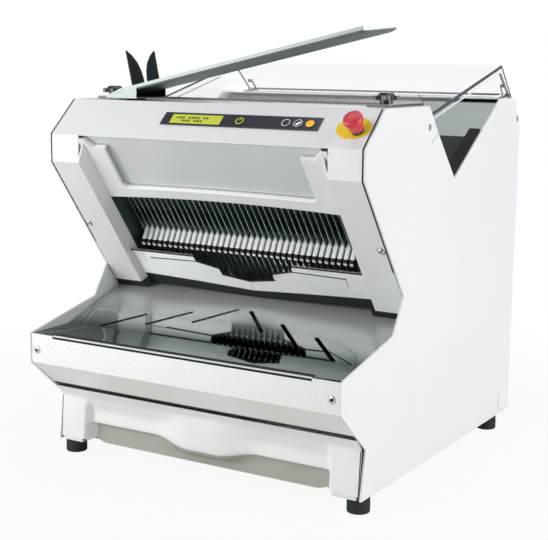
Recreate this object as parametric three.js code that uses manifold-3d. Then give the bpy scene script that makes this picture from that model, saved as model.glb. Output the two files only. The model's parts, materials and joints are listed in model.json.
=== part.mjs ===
// Table-top bread slicing machine with an inclined knife frame, a catch table and a crumb drawer.
// Millimetres, +Z up, +X to the right of someone facing the outlet, +Y to the back.
// The origin is the middle of the footprint, on the floor.
import * as THREE from 'three';
import { mergeVertices } from 'three/addons/utils/BufferGeometryUtils.js';
import Module from 'manifold-3d';

const wasm = await Module();
wasm.setup();

// Driving sizes of the whole machine
const width = 590;
const depth = 679.4;
const height = 611.5;
const footHeight = 25;

// Walls and clearances
const panelWall = 3.5;
const panelSkin = 1.5;
const sheetWall = 1.5;
const coverWall = 2.5;
const gap = 0.3;
const overrun = 5;
// The round caps stand proud of the panels, and the fascia and drawer leave a dark seam beside them
const capProud = 1.6;
const seam = 0.9;
const panelHalf = width / 2 - capProud;
const innerHalf = panelHalf - panelWall - gap;
const seamHalf = innerHalf - seam;

// Corners of the side view, as shares of the depth and of the height over the feet
const sideShares = {
  noseTop: [0, 0.3396],
  noseLow: [0, 0.2568],
  knee: [0.1208, 0.1338],
  frontFoot: [0.1026, 0],
  rearFoot: [1, 0],
  rearCorner: [1, 0.9115],
  rearTop: [0.9566, 1],
  notchRear: [0.8471, 1],
  notchLow: [0.5634, 0.7864],
  notchJog: [0.4578, 0.9185],
  coverRear: [0.4052, 0.9915],
  fasciaTop: [0.1755, 0.9915],
  foldTop: [0.0873, 0.8963],
  foldLow: [0.0873, 0.8182],
  fasciaLow: [0.2972, 0.4955],
  step: [0.246, 0.4027],
};
const bodyHeight = height - footHeight;
// The same corners as [back, up]: set back from the panels' lower front corner, and up from the floor
const side = {};
for (const [corner, [depthShare, heightShare]] of Object.entries(sideShares)) {
  const setBack = depthShare - sideShares.frontFoot[0];
  side[corner] = [setBack * depth, footHeight + heightShare * bodyHeight];
}

// Finishes
function finish(color, roughness, metalness, opacity = 1) {
  const transparent = opacity < 1;
  return new THREE.MeshStandardMaterial({ color, roughness, metalness, opacity, transparent });
}
const whitePaint = finish(0xf1f3f4, 0.35, 0);
const ivoryPlastic = finish(0xe9e6df, 0.4, 0);
const whitePlastic = finish(0xf4f4f2, 0.45, 0);
const blackPlastic = finish(0x15191b, 0.5, 0);
const darkPlastic = finish(0x2b3438, 0.5, 0);
const rubber = finish(0x1b2221, 0.85, 0);
const stainless = finish(0xc9cbca, 0.2, 1);
const steel = finish(0x8f9494, 0.4, 1);
const darkSteel = finish(0x4a5052, 0.45, 1);
const castAluminium = finish(0x9aa0a2, 0.5, 1);
const clearSheet = finish(0xe9e6f2, 0.05, 0, 0.35);
const redPlastic = finish(0xd8323c, 0.35, 0);
const yellowPlastic = finish(0xf5d312, 0.45, 0);
const displayGlass = finish(0xc3cf3b, 0.25, 0);
const keyPlastic = finish(0x20262b, 0.45, 0);

const machine = new THREE.Group();
machine.position.y = -side.noseTop[0] - depth / 2;

// Turns a closed geometry into a solid that can be joined and cut
function solid(geometry) {
  const bare = geometry.clone();
  bare.deleteAttribute('normal');
  bare.deleteAttribute('uv');
  const merged = mergeVertices(bare);
  const corners = merged.attributes.position.array;
  const faces = [];
  let volume = 0;
  for (let i = 0; i < merged.index.count; i += 3) {
    const [a, b, c] = [merged.index.getX(i), merged.index.getX(i + 1), merged.index.getX(i + 2)];
    if (a === b || b === c || c === a) {
      continue;
    }
    faces.push([a, b, c]);
    const [p, q, r] = [a, b, c].map((k) => new THREE.Vector3().fromArray(corners, k * 3));
    volume += p.dot(q.cross(r));
  }
  const outward = volume < 0 ? faces.map(([a, b, c]) => [a, c, b]) : faces;
  const vertProperties = Float32Array.from(corners);
  const triVerts = Uint32Array.from(outward.flat());
  return new wasm.Manifold(new wasm.Mesh({ numProp: 3, vertProperties, triVerts }));
}

// Adds a finished solid to the machine as a named piece
function piece(name, shape, look) {
  const mesh = shape.getMesh();
  const geometry = new THREE.BufferGeometry();
  geometry.setAttribute('position', new THREE.BufferAttribute(mesh.vertProperties, 3));
  geometry.setIndex(new THREE.BufferAttribute(mesh.triVerts, 1));
  geometry.computeVertexNormals();
  const part = new THREE.Mesh(geometry, look);
  part.name = name;
  machine.add(part);
}

function joined(shapes) {
  return shapes.reduce((whole, shape) => whole.add(shape));
}

function cut(shape, tools) {
  return tools.reduce((whole, tool) => whole.subtract(tool), shape);
}

const unitX = new THREE.Vector3(1, 0, 0);

// A plane that holds X and runs along a direction of the side view. Its coordinates are x, the
// distance along that direction, and the distance square to both.
class Workplane {
  constructor([y, z], [runY, runZ]) {
    this.origin = new THREE.Vector3(0, y, z);
    this.run = new THREE.Vector3(0, runY, runZ).normalize();
    this.rise = unitX.clone().cross(this.run);
  }

  // Place in the side view, as [y, z]
  at(along, off) {
    const point = this.origin.clone().addScaledVector(this.run, along).addScaledVector(this.rise, off);
    return [point.y, point.z];
  }

  // Coordinates of a side view place, as [along, off]
  from([y, z]) {
    const offset = new THREE.Vector3(0, y, z).sub(this.origin);
    return [offset.dot(this.run), offset.dot(this.rise)];
  }

  swept(points, low, high, axes, lean) {
    const outline = new THREE.Shape(points.map(([a, b]) => new THREE.Vector2(a, b)));
    const geometry = new THREE.ExtrudeGeometry(outline, { depth: high - low, bevelEnabled: false });
    geometry.translate(0, 0, low);
    geometry.applyMatrix4(new THREE.Matrix4().set(1, 0, 0, 0, 0, 1, 0, 0, 0, lean, 1, 0, 0, 0, 0, 1));
    geometry.applyMatrix4(new THREE.Matrix4().makeBasis(...axes).setPosition(this.origin));
    return solid(geometry);
  }

  // Outline in (along, off), carried along x. A lean moves x by that share of off.
  prism(points, x0, x1, lean = 0) {
    return this.swept(points, x0, x1, [this.run, this.rise, unitX], lean);
  }

  // Outline in (x, along), carried off the plane
  plate(points, low, high) {
    return this.swept(points, low, high, [unitX, this.run, this.rise], 0);
  }

  // Outline in (off, x), carried along the run
  bar(points, low, high) {
    return this.swept(points, low, high, [this.rise, unitX, this.run], 0);
  }

  // Block between two values each of x, along and off
  block([x0, x1], [along0, along1], [off0, off1]) {
    return this.prism(rectangle(along0, along1, off0, off1), x0, x1);
  }

  // Turned shape on an axis square to the plane, from a profile of [radius, off]
  spun(profile, x, along, segments) {
    const geometry = new THREE.LatheGeometry(profile.map(([r, h]) => new THREE.Vector2(r, h)), segments);
    const axes = [this.run, this.rise, unitX];
    const [y, z] = this.at(along, 0);
    geometry.applyMatrix4(new THREE.Matrix4().makeBasis(...axes).setPosition(x, y, z));
    return solid(geometry);
  }

  // Turned shape on an axis along x, from a profile of [radius, x]
  axle(profile, [along, off], segments) {
    const geometry = new THREE.LatheGeometry(profile.map(([r, h]) => new THREE.Vector2(r, h)), segments);
    const axes = [this.rise, unitX, this.run];
    const [y, z] = this.at(along, off);
    geometry.applyMatrix4(new THREE.Matrix4().makeBasis(...axes).setPosition(0, y, z));
    return solid(geometry);
  }
}

function rectangle(a0, a1, b0, b1) {
  return [[a0, b0], [a1, b0], [a1, b1], [a0, b1]];
}

// Profile of a plain round bar or disc for turning
function round(radius, low, high) {
  return [[0, low], [radius, low], [radius, high], [0, high]];
}

// Line beside a run of points, at a distance to its left
function beside(points, distance, closed = false) {
  const count = points.length;
  return points.map((point, i) => {
    const before = points[closed ? (i + count - 1) % count : Math.max(i - 1, 0)];
    const after = points[closed ? (i + 1) % count : Math.min(i + 1, count - 1)];
    const here = new THREE.Vector2(...point);
    const into = here.clone().sub(new THREE.Vector2(...before));
    const onward = new THREE.Vector2(...after).sub(here);
    const first = (into.lengthSq() ? into : onward).clone().normalize();
    const second = (onward.lengthSq() ? onward : into).clone().normalize();
    const bisector = new THREE.Vector2(-first.y - second.y, first.x + second.x).normalize();
    const reach = distance / bisector.dot(new THREE.Vector2(-first.y, first.x));
    return here.addScaledVector(bisector, reach).toArray();
  });
}

// Folded sheet seen from its edge: the outer line and the wall on its left
function folded(points, wall) {
  return [...points, ...beside(points, wall).reverse()];
}

function circle(radius, steps, [a, b] = [0, 0]) {
  const share = (i) => (i / steps) * Math.PI * 2;
  return Array.from({ length: steps }, (_, i) => [
    a + radius * Math.cos(share(i)),
    b + radius * Math.sin(share(i)),
  ]);
}

// Soft step from 0 to 1
function ease(low, high, value) {
  return THREE.MathUtils.smoothstep(value, low, high);
}

// Moulded wall from two grids of points, joined round their edge
function moulded(columns, rows, front, back) {
  const corners = [];
  const faces = [];
  for (const surface of [front, back]) {
    for (const column of columns) {
      for (const row of rows) {
        corners.push(...surface(column, row));
      }
    }
  }
  const tall = rows.length;
  const layer = columns.length * tall;
  const quad = (a, b, c, d) => faces.push(a, b, c, a, c, d);
  for (let i = 0; i + 1 < columns.length; i += 1) {
    for (let j = 0; j + 1 < tall; j += 1) {
      const k = i * tall + j;
      quad(k, k + tall, k + tall + 1, k + 1);
      quad(layer + k, layer + k + 1, layer + k + tall + 1, layer + k + tall);
    }
    const low = i * tall;
    const high = low + tall - 1;
    quad(low, layer + low, layer + low + tall, low + tall);
    quad(high, high + tall, layer + high + tall, layer + high);
  }
  for (let j = 0; j + 1 < tall; j += 1) {
    const last = layer - tall + j;
    quad(j, j + 1, layer + j + 1, layer + j);
    quad(last, layer + last, layer + last + 1, last + 1);
  }
  const geometry = new THREE.BufferGeometry();
  geometry.setAttribute('position', new THREE.Float32BufferAttribute(corners, 3));
  geometry.setIndex(faces);
  return solid(geometry);
}

const span = (centre, size) => [centre - size / 2, centre + size / 2];
const sides = [['left', -1], ['right', 1]];
// Two values of x on one side of the machine, in rising order
const onSide = (sign, near, far) => [sign * near, sign * far].sort((a, b) => a - b);

const stand = new Workplane([0, 0], [1, 0]);
const run = ([y0, z0], [y1, z1]) => [y1 - y0, z1 - z0];
// The fascia's slope: along goes down the outlet, off goes into the machine
const slope = new Workplane(side.foldLow, run(side.foldLow, side.fasciaLow));
// The control face: along goes up the face, off goes out of it
const face = new Workplane(side.foldTop, run(side.foldTop, side.fasciaTop));
// The infeed floor: along goes up it, off goes out of it
const floorDrop = 20.2;
const floorStart = [side.notchLow[0], side.notchLow[1] - floorDrop];
const infeed = new Workplane(floorStart, run(side.notchLow, side.notchRear));

// A place set off from another in the side view
const offset = ([y, z], toBack, toTop) => [y + toBack, z + toTop];

// Side panels: shallow pans with a turned edge and a round cap near the lower rear corner
const panelEdge = 6;
const cap = { inset: 32.7, up: 26.7, radius: 21, thickness: 4.5, segments: 32 };
const capPlace = offset(side.rearFoot, -cap.inset, cap.up);
const panelOutline = Object.values(side);
const pocketOutline = beside(panelOutline, panelEdge, true);
for (const [name, sign] of sides) {
  const whole = stand.prism(panelOutline, ...onSide(sign, panelHalf - panelWall, panelHalf));
  const pocket = stand.prism(pocketOutline, ...onSide(sign, innerHalf - overrun, panelHalf - panelSkin));
  const capHole = round(cap.radius + gap, ...onSide(sign, innerHalf - overrun, width / 2 + overrun));
  const tools = [pocket, stand.axle(capHole, capPlace, cap.segments)];
  piece(`panel_${name}`, cut(whole, tools), whitePaint);
  const capDisc = round(cap.radius, ...onSide(sign, width / 2 - cap.thickness, width / 2));
  piece(`side_cap_${name}`, stand.axle(capDisc, capPlace, cap.segments), whitePlastic);
}

// Fascia and top cover: sizes that other pieces take up
const fascia = {
  leg: 63, below: 40, ledge: 20, ledgeDrop: 31.5, flange: 20, lean: 0.5, windowTop: 0.6,
};
const windowHalf = width / 2 - fascia.leg;
const slopeLow = slope.from(side.fasciaLow)[0];
const fasciaEnd = slopeLow + fascia.below;
const [foldTopAlong, foldTopOff] = slope.from(side.foldTop);
const coverTop = side.coverRear[1];
const ledgeTop = coverTop - fascia.ledgeDrop;

// Chassis plates just inside the panels, set back from every edge of them
const chassis = {
  wall: 3, clear: 5.4, inset: 9, front: 68, low: 6, sill: 16, slopeTop: 20, slopeBehind: 34,
  slopeEnd: 48, endBehind: 24, floorDrop: 25, notchIn: 14,
};
const chassisHalf = innerHalf - chassis.clear;
const chassisFront = side.fasciaLow[0] + chassis.front;
const chassisOutline = [
  [chassisFront, footHeight + chassis.low], [chassisFront, side.step[1] + chassis.sill],
  slope.at(slopeLow + chassis.slopeEnd, chassis.endBehind), slope.at(-chassis.slopeTop, chassis.slopeBehind),
  offset(side.fasciaTop, 0, -chassis.inset), offset(side.coverRear, -chassis.inset, -chassis.inset),
  [side.coverRear[0] - chassis.inset, ledgeTop - chassis.inset],
  offset(side.notchJog, -chassis.inset, -chassis.inset), offset(side.notchLow, 0, -chassis.floorDrop),
  offset(side.notchRear, chassis.notchIn, -chassis.floorDrop),
  offset(side.rearTop, -chassis.inset, -chassis.inset),
  offset(side.rearCorner, -chassis.inset, -chassis.inset),
  [side.rearFoot[0] - chassis.inset, footHeight + chassis.low],
];
for (const [name, sign] of sides) {
  const wall = onSide(sign, chassisHalf, chassisHalf + chassis.wall);
  piece(`chassis_${name}`, stand.prism(chassisOutline, ...wall), steel);
}

// Base pan with a lip under each post of the drawer front, on four feet
const pan = { front: 2, inset: 2.7, wall: 1.5, flange: 35, lip: 6.5, postWide: 41, notchBack: 32 };
const panHalf = chassisHalf - gap;
const panRear = side.rearFoot[0] - pan.inset;
const panNotch = panHalf - pan.postWide;
const panOutline = [
  [-panHalf, pan.front], [-panNotch, pan.front], [-panNotch, pan.notchBack], [panNotch, pan.notchBack],
  [panNotch, pan.front], [panHalf, pan.front], [panHalf, panRear], [-panHalf, panRear],
];
const panTop = footHeight + pan.wall;
const panFloor = stand.plate(panOutline, footHeight, panTop);
const panWalls = sides.flatMap(([, sign]) => [
  stand.block(
    onSide(sign, panHalf - pan.wall, panHalf),
    [pan.notchBack, panRear],
    [footHeight, footHeight + pan.flange],
  ),
  stand.block(
    onSide(sign, panNotch, panHalf),
    [pan.front, pan.front + pan.wall],
    [footHeight, footHeight + pan.lip],
  ),
]);
piece('base_pan', joined([panFloor, ...panWalls]), whitePaint);

const foot = { inset: 19, front: 26, rear: 64.7, radius: 18, bead: 1.5, segments: 24 };
const footHalf = width / 2 - foot.inset;
const footProfile = [
  [0, 0], [foot.radius - foot.bead, 0], [foot.radius, foot.bead],
  [foot.radius, footHeight - gap], [0, footHeight - gap],
];
for (const [name, sign] of sides) {
  for (const [end, back] of [['front', foot.front], ['rear', side.rearFoot[0] - foot.rear]]) {
    piece(`foot_${end}_${name}`, stand.spun(footProfile, sign * footHalf, back, foot.segments), rubber);
  }
}

// Rear panel with a top flange, rows of air slots and an opening for the power inlet
const rear = { rise: 2, flange: 53, slots: 9, slotPitch: 16, slotHigh: 6, slotWide: 90, slotLow: 130 };
const inlet = { inset: 99.6, up: 92, wide: 48, high: 28, deep: 24, rim: 5, socket: 15 };
const inletAcross = innerHalf - inlet.inset;
const rearLine = [
  [side.rearFoot[0], footHeight + rear.rise], side.rearCorner, side.rearTop,
  offset(side.rearTop, -rear.flange, 0),
];
const rearFace = side.rearFoot[0];
const throughRear = [rearFace - overrun, rearFace + overrun];
const slotBlock = (across, i) => stand.block(
  span(across, rear.slotWide),
  throughRear,
  span(rear.slotLow + i * rear.slotPitch, rear.slotHigh),
);
const slotBlocks = Array.from({ length: rear.slots }, (_, i) => (
  [-inletAcross, inletAcross].map((across) => slotBlock(across, i + 1))
)).flat();
const inletHole = stand.block(
  span(inletAcross, inlet.wide + 2 * gap),
  throughRear,
  span(inlet.up, inlet.high + 2 * gap),
);
const rearSheet = stand.prism(folded(rearLine, sheetWall), -innerHalf, innerHalf);
piece('rear_panel', cut(rearSheet, [...slotBlocks, inletHole]), whitePaint);

const inletBody = stand.block(
  span(inletAcross, inlet.wide),
  [rearFace - inlet.deep, rearFace - gap],
  span(inlet.up, inlet.high),
);
const inletSocket = stand.block(
  span(inletAcross, inlet.wide - 2 * inlet.rim),
  [rearFace - inlet.socket, rearFace + overrun],
  span(inlet.up, inlet.high - 2 * inlet.rim),
);
const pin = { pitch: 12, wide: 2, high: 6, long: 11 };
const pins = [-1, 0, 1].map((i) => stand.block(
  span(inletAcross + i * pin.pitch, pin.wide),
  [rearFace - inlet.socket - pin.wide, rearFace - inlet.socket + pin.long],
  span(inlet.up, pin.high),
));
piece('power_inlet', joined([inletBody.subtract(inletSocket), ...pins]), blackPlastic);

// Fascia and top cover, folded from one sheet, with a window that has turned-in sides
const fasciaLine = [
  [side.coverRear[0] + fascia.ledge, ledgeTop], [side.coverRear[0], ledgeTop],
  side.coverRear, side.fasciaTop, side.foldTop, side.foldLow, slope.at(fasciaEnd, 0),
];
const fasciaSheet = stand.prism(folded(fasciaLine, coverWall), -seamHalf, seamHalf);
const windowBlock = slope.block(
  [-windowHalf, windowHalf],
  [foldTopAlong + fascia.windowTop, fasciaEnd + overrun],
  [-overrun, foldTopOff + overrun],
);
const flangeTopShare = fascia.flange / foldTopOff;
const flangeOutline = [
  [0, 0], [fasciaEnd, 0], [fasciaEnd, fascia.flange], [foldTopAlong * flangeTopShare, fascia.flange],
];
const flangeRight = slope.prism(flangeOutline, windowHalf, windowHalf + coverWall, -fascia.lean);
const flanges = [flangeRight, flangeRight.mirror([1, 0, 0])];

// Star knobs, on studs through the clear lip and the cover
const knob = {
  inset: 36, setBack: 71.5, head: 22, lobe: 2.5, lobes: 6, points: 36, low: 10.5, top: 21.5, crown: 4,
  neck: 14.5, stem: 10, stemLow: 4.9, stud: 3.5, studLow: -8, segments: 24,
};
const knobHalf = width / 2 - knob.inset;
const knobBack = side.fasciaTop[0] + knob.setBack;
const lipWall = 4;
const knobHole = round(knob.stud + gap, ledgeTop, coverTop + lipWall + overrun);
const knobHoles = sides.map(([, sign]) => stand.spun(knobHole, sign * knobHalf, knobBack, knob.segments));

// Emergency stop and its place on the control face
const stop = {
  inset: 27, up: 33.5, barrel: 9, collar: 15, behind: 30, plateInset: 36.5, plateUp: 40,
  plateWide: 28, plateHigh: 21, plate: 1.5, head: 15, headTop: 32, brim: 19, dome: 5, domeDrop: 1.6,
  skirt: 10.8, skirtLow: 8, pocketDeep: 7, stem: 5, stemLow: -6, boreLow: -14, segments: 24,
};
const stopAcross = width / 2 - stop.inset;
const stopHole = round(stop.barrel + gap, -overrun, overrun);
const stopCut = face.spun(stopHole, stopAcross, stop.up, stop.segments);
const fasciaFrame = joined([fasciaSheet.subtract(windowBlock), ...flanges]);
piece('fascia', cut(fasciaFrame, [stopCut, ...knobHoles]), whitePaint);

const plateAcross = width / 2 - stop.plateInset;
const stopOval = circle(1, stop.segments).map(([a, b]) => (
  [plateAcross + a * stop.plateWide, stop.plateUp + b * stop.plateHigh]
));
piece('estop_plate', face.plate(stopOval, gap, gap + stop.plate).subtract(stopCut), yellowPlastic);
const stopBody = [
  [0, -stop.behind], [stop.barrel, -stop.behind], [stop.barrel, stop.collar],
  [stop.stem + gap, stop.collar], [stop.stem + gap, stop.boreLow], [0, stop.boreLow],
];
piece('estop_body', face.spun(stopBody, stopAcross, stop.up, stop.segments), darkPlastic);
const pocketTop = stop.collar + stop.pocketDeep;
const stopHead = [
  [0, stop.stemLow], [stop.stem, stop.stemLow], [stop.stem, pocketTop],
  [stop.barrel + gap, pocketTop], [stop.barrel + gap, stop.skirtLow],
  [stop.skirt, stop.skirtLow], [stop.skirt, stop.brim], [stop.head, stop.brim],
  [stop.head, stop.headTop - stop.dome], [stop.head - stop.dome, stop.headTop - stop.domeDrop],
  [stop.head / 2, stop.headTop], [0, stop.headTop],
];
piece('estop_button', face.spun(stopHead, stopAcross, stop.up, stop.segments), redPlastic);

// Control strip with its display and keys
const strip = { inset: 29.5, margin: 16.1, low: 31.3, top: 57.7, thickness: 1.6 };
const stripRight = plateAcross - stop.plateWide - strip.inset;
const key = { up: 44, standOff: 0.9, thickness: 1.6, segments: 20 };
// Each key's distance from the right end of the strip, and its radius
const keys = { power: [139.8, 8.7], run: [57.9, 8], pause: [36.9, 8.7], stop: [16.3, 9] };
const screen = { clear: 34.2, long: 94.5, low: 34.9, top: 54, thickness: 1.2 };
const screenLeft = stripRight - keys.power[0] - screen.clear - screen.long;
const stripLeft = screenLeft - strip.margin;
const screenHole = face.block(
  [screenLeft - gap, screenLeft + screen.long + gap],
  [screen.low - gap, screen.top + gap],
  [0, overrun],
);
const keyHoles = Object.values(keys).map(([fromRight, radius]) => (
  face.spun(round(radius + gap, 0, overrun), stripRight - fromRight, key.up, key.segments)
));
const stripSheet = face.block([stripLeft, stripRight], [strip.low, strip.top], [gap, gap + strip.thickness]);
piece('control_strip', cut(stripSheet, [screenHole, ...keyHoles]), keyPlastic);
const screenSpan = [screenLeft, screenLeft + screen.long];
const screenSheet = face.block(screenSpan, [screen.low, screen.top], [gap, gap + screen.thickness]);
piece('display', screenSheet, displayGlass);
for (const [name, [fromRight, radius]] of Object.entries(keys)) {
  const keyCap = round(radius, key.standOff + gap, key.standOff + gap + key.thickness);
  piece(`key_${name}`, face.spun(keyCap, stripRight - fromRight, key.up, key.segments), keyPlastic);
}

// Hood: a moulded border round a recess that is open to the top, with an arched lower lip. It
// closes the window behind the flanges.
const hood = {
  under: 3.4, side: 91.5, centre: 83, wall: 3, recessDeep: 9.6, border: 49, flareStart: 12,
  flareEnd: 33, lipSide: 21.5, lipCentre: 17.5, corner: 8, softIn: 2, softOut: 5,
};
const hoodAcrossShares = [0, 0.25, 0.5, 0.68, 0.75, 0.78, 0.79, 0.8, 0.81, 0.84, 0.88, 0.92, 0.96, 1];
const hoodDownShares = [0, 0.06, 0.12, 0.18, 0.24, 0.36, 0.55, 0.72, 0.79, 0.82, 0.84, 0.86, 0.88, 0.94, 1];
const hoodHalf = windowHalf - 2 * gap;
const hoodTop = foldTopAlong + hood.under;
const hoodFront = fascia.flange + gap;
const hoodColumns = [...hoodAcrossShares.slice(1).map((share) => -share).reverse(), ...hoodAcrossShares];
function hoodPlace(across, down) {
  const middle = 1 - across * across;
  const edge = THREE.MathUtils.lerp(hood.side, hood.centre, middle);
  const lip = THREE.MathUtils.lerp(hood.lipSide, hood.lipCentre, middle);
  const along = THREE.MathUtils.lerp(hoodTop, edge, down);
  const x = across * hoodHalf;
  const recessHalf = hoodHalf - hood.border * (1 - ease(hood.flareStart, hood.flareEnd, -along));
  const wide = Math.abs(x) - recessHalf + hood.corner;
  const low = along - (edge - lip) + hood.corner;
  const rim = Math.hypot(Math.max(wide, 0), Math.max(low, 0)) + Math.min(Math.max(wide, low), 0);
  const raised = ease(-hood.softIn, hood.softOut, rim - hood.corner);
  return [x, along, hoodFront + hood.recessDeep * (1 - raised)];
}
function hoodSurface(depthIn) {
  return (across, down) => {
    const [x, along, off] = hoodPlace(across, down);
    return [x, ...slope.at(along, off + depthIn)];
  };
}
piece('hood', moulded(hoodColumns, hoodDownShares, hoodSurface(0), hoodSurface(hood.wall)), ivoryPlastic);

// Clear lid: one folded sheet with lips along its sides, pinned to two brackets on the rear panel
const lid = { inset: 15, wall: 5, lip: 12, notch: 24, pinHole: 1.8 };
// Steps from the cover's rear edge to the lid's front, and from the rear panel's top to the rest
const lidSteps = { front: [9.4, -19.5], ridge: [-38.2, 58.2], end: [17.3, 0.5], pin: [8.8, 5.5] };
const lidHalf = width / 2 - lid.inset;
const lidFront = offset(side.coverRear, ...lidSteps.front);
const lidRidge = offset(side.rearTop, ...lidSteps.ridge);
const lidEnd = offset(side.rearTop, ...lidSteps.end);
const lidPin = offset(side.rearTop, ...lidSteps.pin);
const bracket = { wide: 8.6, foot: 1.6, footLong: 38, arm: 6, nose: 4, crown: 3, pin: 1.5, segments: 16 };
const bracketFar = lidHalf - lid.wall - gap;
const bracketNear = bracketFar - bracket.wide;
const lidLine = [lidEnd, lidRidge, lidFront];
const lidSheet = stand.prism(folded(lidLine, lid.wall), -lidHalf, lidHalf);
// The lips narrow to the sheet's own wall at the pins
const [, lipRidge, lipFront] = beside(lidLine, lid.lip);
const lipOutline = [...lidLine, lipFront, lipRidge, beside(lidLine, lid.wall)[0]];
const lidLips = sides.map(([, sign]) => (
  stand.prism(lipOutline, ...onSide(sign, lidHalf - lid.wall, lidHalf))
));
const lidPinHole = stand.axle(round(lid.pinHole, -width / 2, width / 2), lidPin, bracket.segments);
const lidNotches = sides.map(([, sign]) => stand.block(
  onSide(sign, bracketNear - gap, lidHalf - lid.wall),
  [lidEnd[0] - lid.notch, lidEnd[0] + overrun],
  [lidEnd[1] - lid.notch, lidEnd[1] + lid.notch],
));
piece('lid', cut(joined([cut(lidSheet, lidNotches), ...lidLips]), [lidPinHole]), clearSheet);

const flangeTop = side.rearTop[1] + gap;
const flangeBack = [side.rearTop[0], flangeTop];
const bracketOutline = [
  offset(flangeBack, -bracket.footLong, 0), offset(flangeBack, -overrun, 0),
  offset(lidPin, bracket.crown, -bracket.nose), offset(lidPin, bracket.nose, 0),
  offset(lidPin, 0, bracket.crown),
  [side.rearTop[0] - bracket.arm, lidPin[1]], offset(flangeBack, -bracket.footLong, bracket.foot),
];
for (const [name, sign] of sides) {
  const arm = stand.prism(bracketOutline, ...onSide(sign, bracketNear, bracketFar));
  const pinBar = round(bracket.pin, ...onSide(sign, bracketNear, lidHalf - gap));
  piece(`lid_hinge_${name}`, arm.add(stand.axle(pinBar, lidPin, bracket.segments)), stainless);
}

// Clear front lip: a shelf on the cover with an upright edge, held down by the knobs
const lip = { inset: 15, tab: 44, tabFront: 20, shelf: 50, over: 4.4, high: 18.5, corner: 9.2 };
const lipHalf = width / 2 - lip.inset;
const lipTab = lipHalf - lip.tab;
const lipRear = side.coverRear[0] + lip.over;
const shelfOutline = [
  [-lipHalf, knobBack - lip.tabFront], [-lipTab, knobBack - lip.tabFront],
  [-lipTab, lipRear - lip.shelf], [lipTab, lipRear - lip.shelf],
  [lipTab, knobBack - lip.tabFront], [lipHalf, knobBack - lip.tabFront],
  [lipHalf, lipRear], [-lipHalf, lipRear],
];
const shelfLow = coverTop + gap;
const lipShelf = stand.plate(shelfOutline, shelfLow, shelfLow + lipWall);
const lipUpright = stand.bar([
  [shelfLow, -lipHalf], [shelfLow, lipHalf],
  [coverTop + lip.corner, lipHalf], [coverTop + lip.high, lipHalf - lip.corner],
  [coverTop + lip.high, lip.corner - lipHalf], [coverTop + lip.corner, -lipHalf],
], lipRear - lipWall, lipRear);
piece('front_lip', cut(lipShelf.add(lipUpright), knobHoles), clearSheet);

const lobeAt = (angle) => knob.head - knob.lobe + knob.lobe * Math.cos(knob.lobes * angle);
for (const [name, sign] of sides) {
  const star = Array.from({ length: knob.points }, (_, i) => (i / knob.points) * 2 * Math.PI)
    .map((angle) => [
      sign * knobHalf + lobeAt(angle) * Math.cos(angle),
      knobBack + lobeAt(angle) * Math.sin(angle),
    ]);
  const head = stand.plate(star, coverTop + knob.low, coverTop + knob.top - knob.crown);
  const body = stand.spun([
    [0, coverTop + knob.studLow], [knob.stud, coverTop + knob.studLow],
    [knob.stud, coverTop + knob.stemLow], [knob.stem, coverTop + knob.stemLow],
    [knob.stem, coverTop + knob.low + gap], [knob.neck, coverTop + knob.top - knob.crown],
    [knob.stem, coverTop + knob.top], [0, coverTop + knob.top],
  ], sign * knobHalf, knobBack, knob.segments);
  piece(`knob_${name}`, head.add(body), blackPlastic);
}

// Trough: a shallow U section that rises to the right from a flat foot. Its floor runs out to a
// round tip, its walls are lower at the left end, and it swivels on a stud through the foot.
const scoop = {
  inset: 67, wallEnd: 47, tip: 14, setBack: 49.5, half: 41, wall: 1.6, high: 9.4, leftHigh: 3,
  taper: 31, low: 3.3, footLong: 63, stud: 5, cap: 9, flange: 16, segments: 24,
};
const scoopLeft = scoop.inset - width / 2;
const scoopBack = side.fasciaTop[0] + scoop.setBack;
const scoopSectionShares = [
  [-1, 1], [-1, 0.4], [-0.95, 0.1], [-0.85, 0], [-0.4, 0], [0, 0],
  [0.4, 0], [0.85, 0], [0.95, 0.1], [1, 0.4], [1, 1],
];
const scoopAlongShares = [0, 0.06, 0.3, 0.6, 0.9, 0.95, 1];
const scoopLow = coverTop + scoop.low;
// Its rise, as a share of the way to the right
const scoopRiseShare = 0.222;
const scoopFloor = (x) => scoopLow + scoopRiseShare * (x - scoopLeft);
const taperEnd = scoopLeft + scoop.taper;
function scoopPlace(index, alongShare, inward) {
  const [acrossShare] = scoopSectionShares[index];
  const end = width / 2 - THREE.MathUtils.lerp(scoop.tip, scoop.wallEnd, acrossShare * acrossShare);
  const x = THREE.MathUtils.lerp(scoopLeft, end, alongShare);
  const tapered = Math.min(x, taperEnd);
  const high = THREE.MathUtils.mapLinear(tapered, scoopLeft, taperEnd, scoop.leftHigh, scoop.high);
  const section = scoopSectionShares.map(([a, b]) => [a * scoop.half, b * high]);
  const [y, z] = (inward ? beside(section, scoop.wall) : section)[index];
  return [x, scoopBack + y, scoopFloor(x) + z];
}
const scoopShell = moulded(
  scoopSectionShares.map((_, index) => index),
  scoopAlongShares,
  (index, along) => scoopPlace(index, along, false),
  (index, along) => scoopPlace(index, along, true),
);
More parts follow.
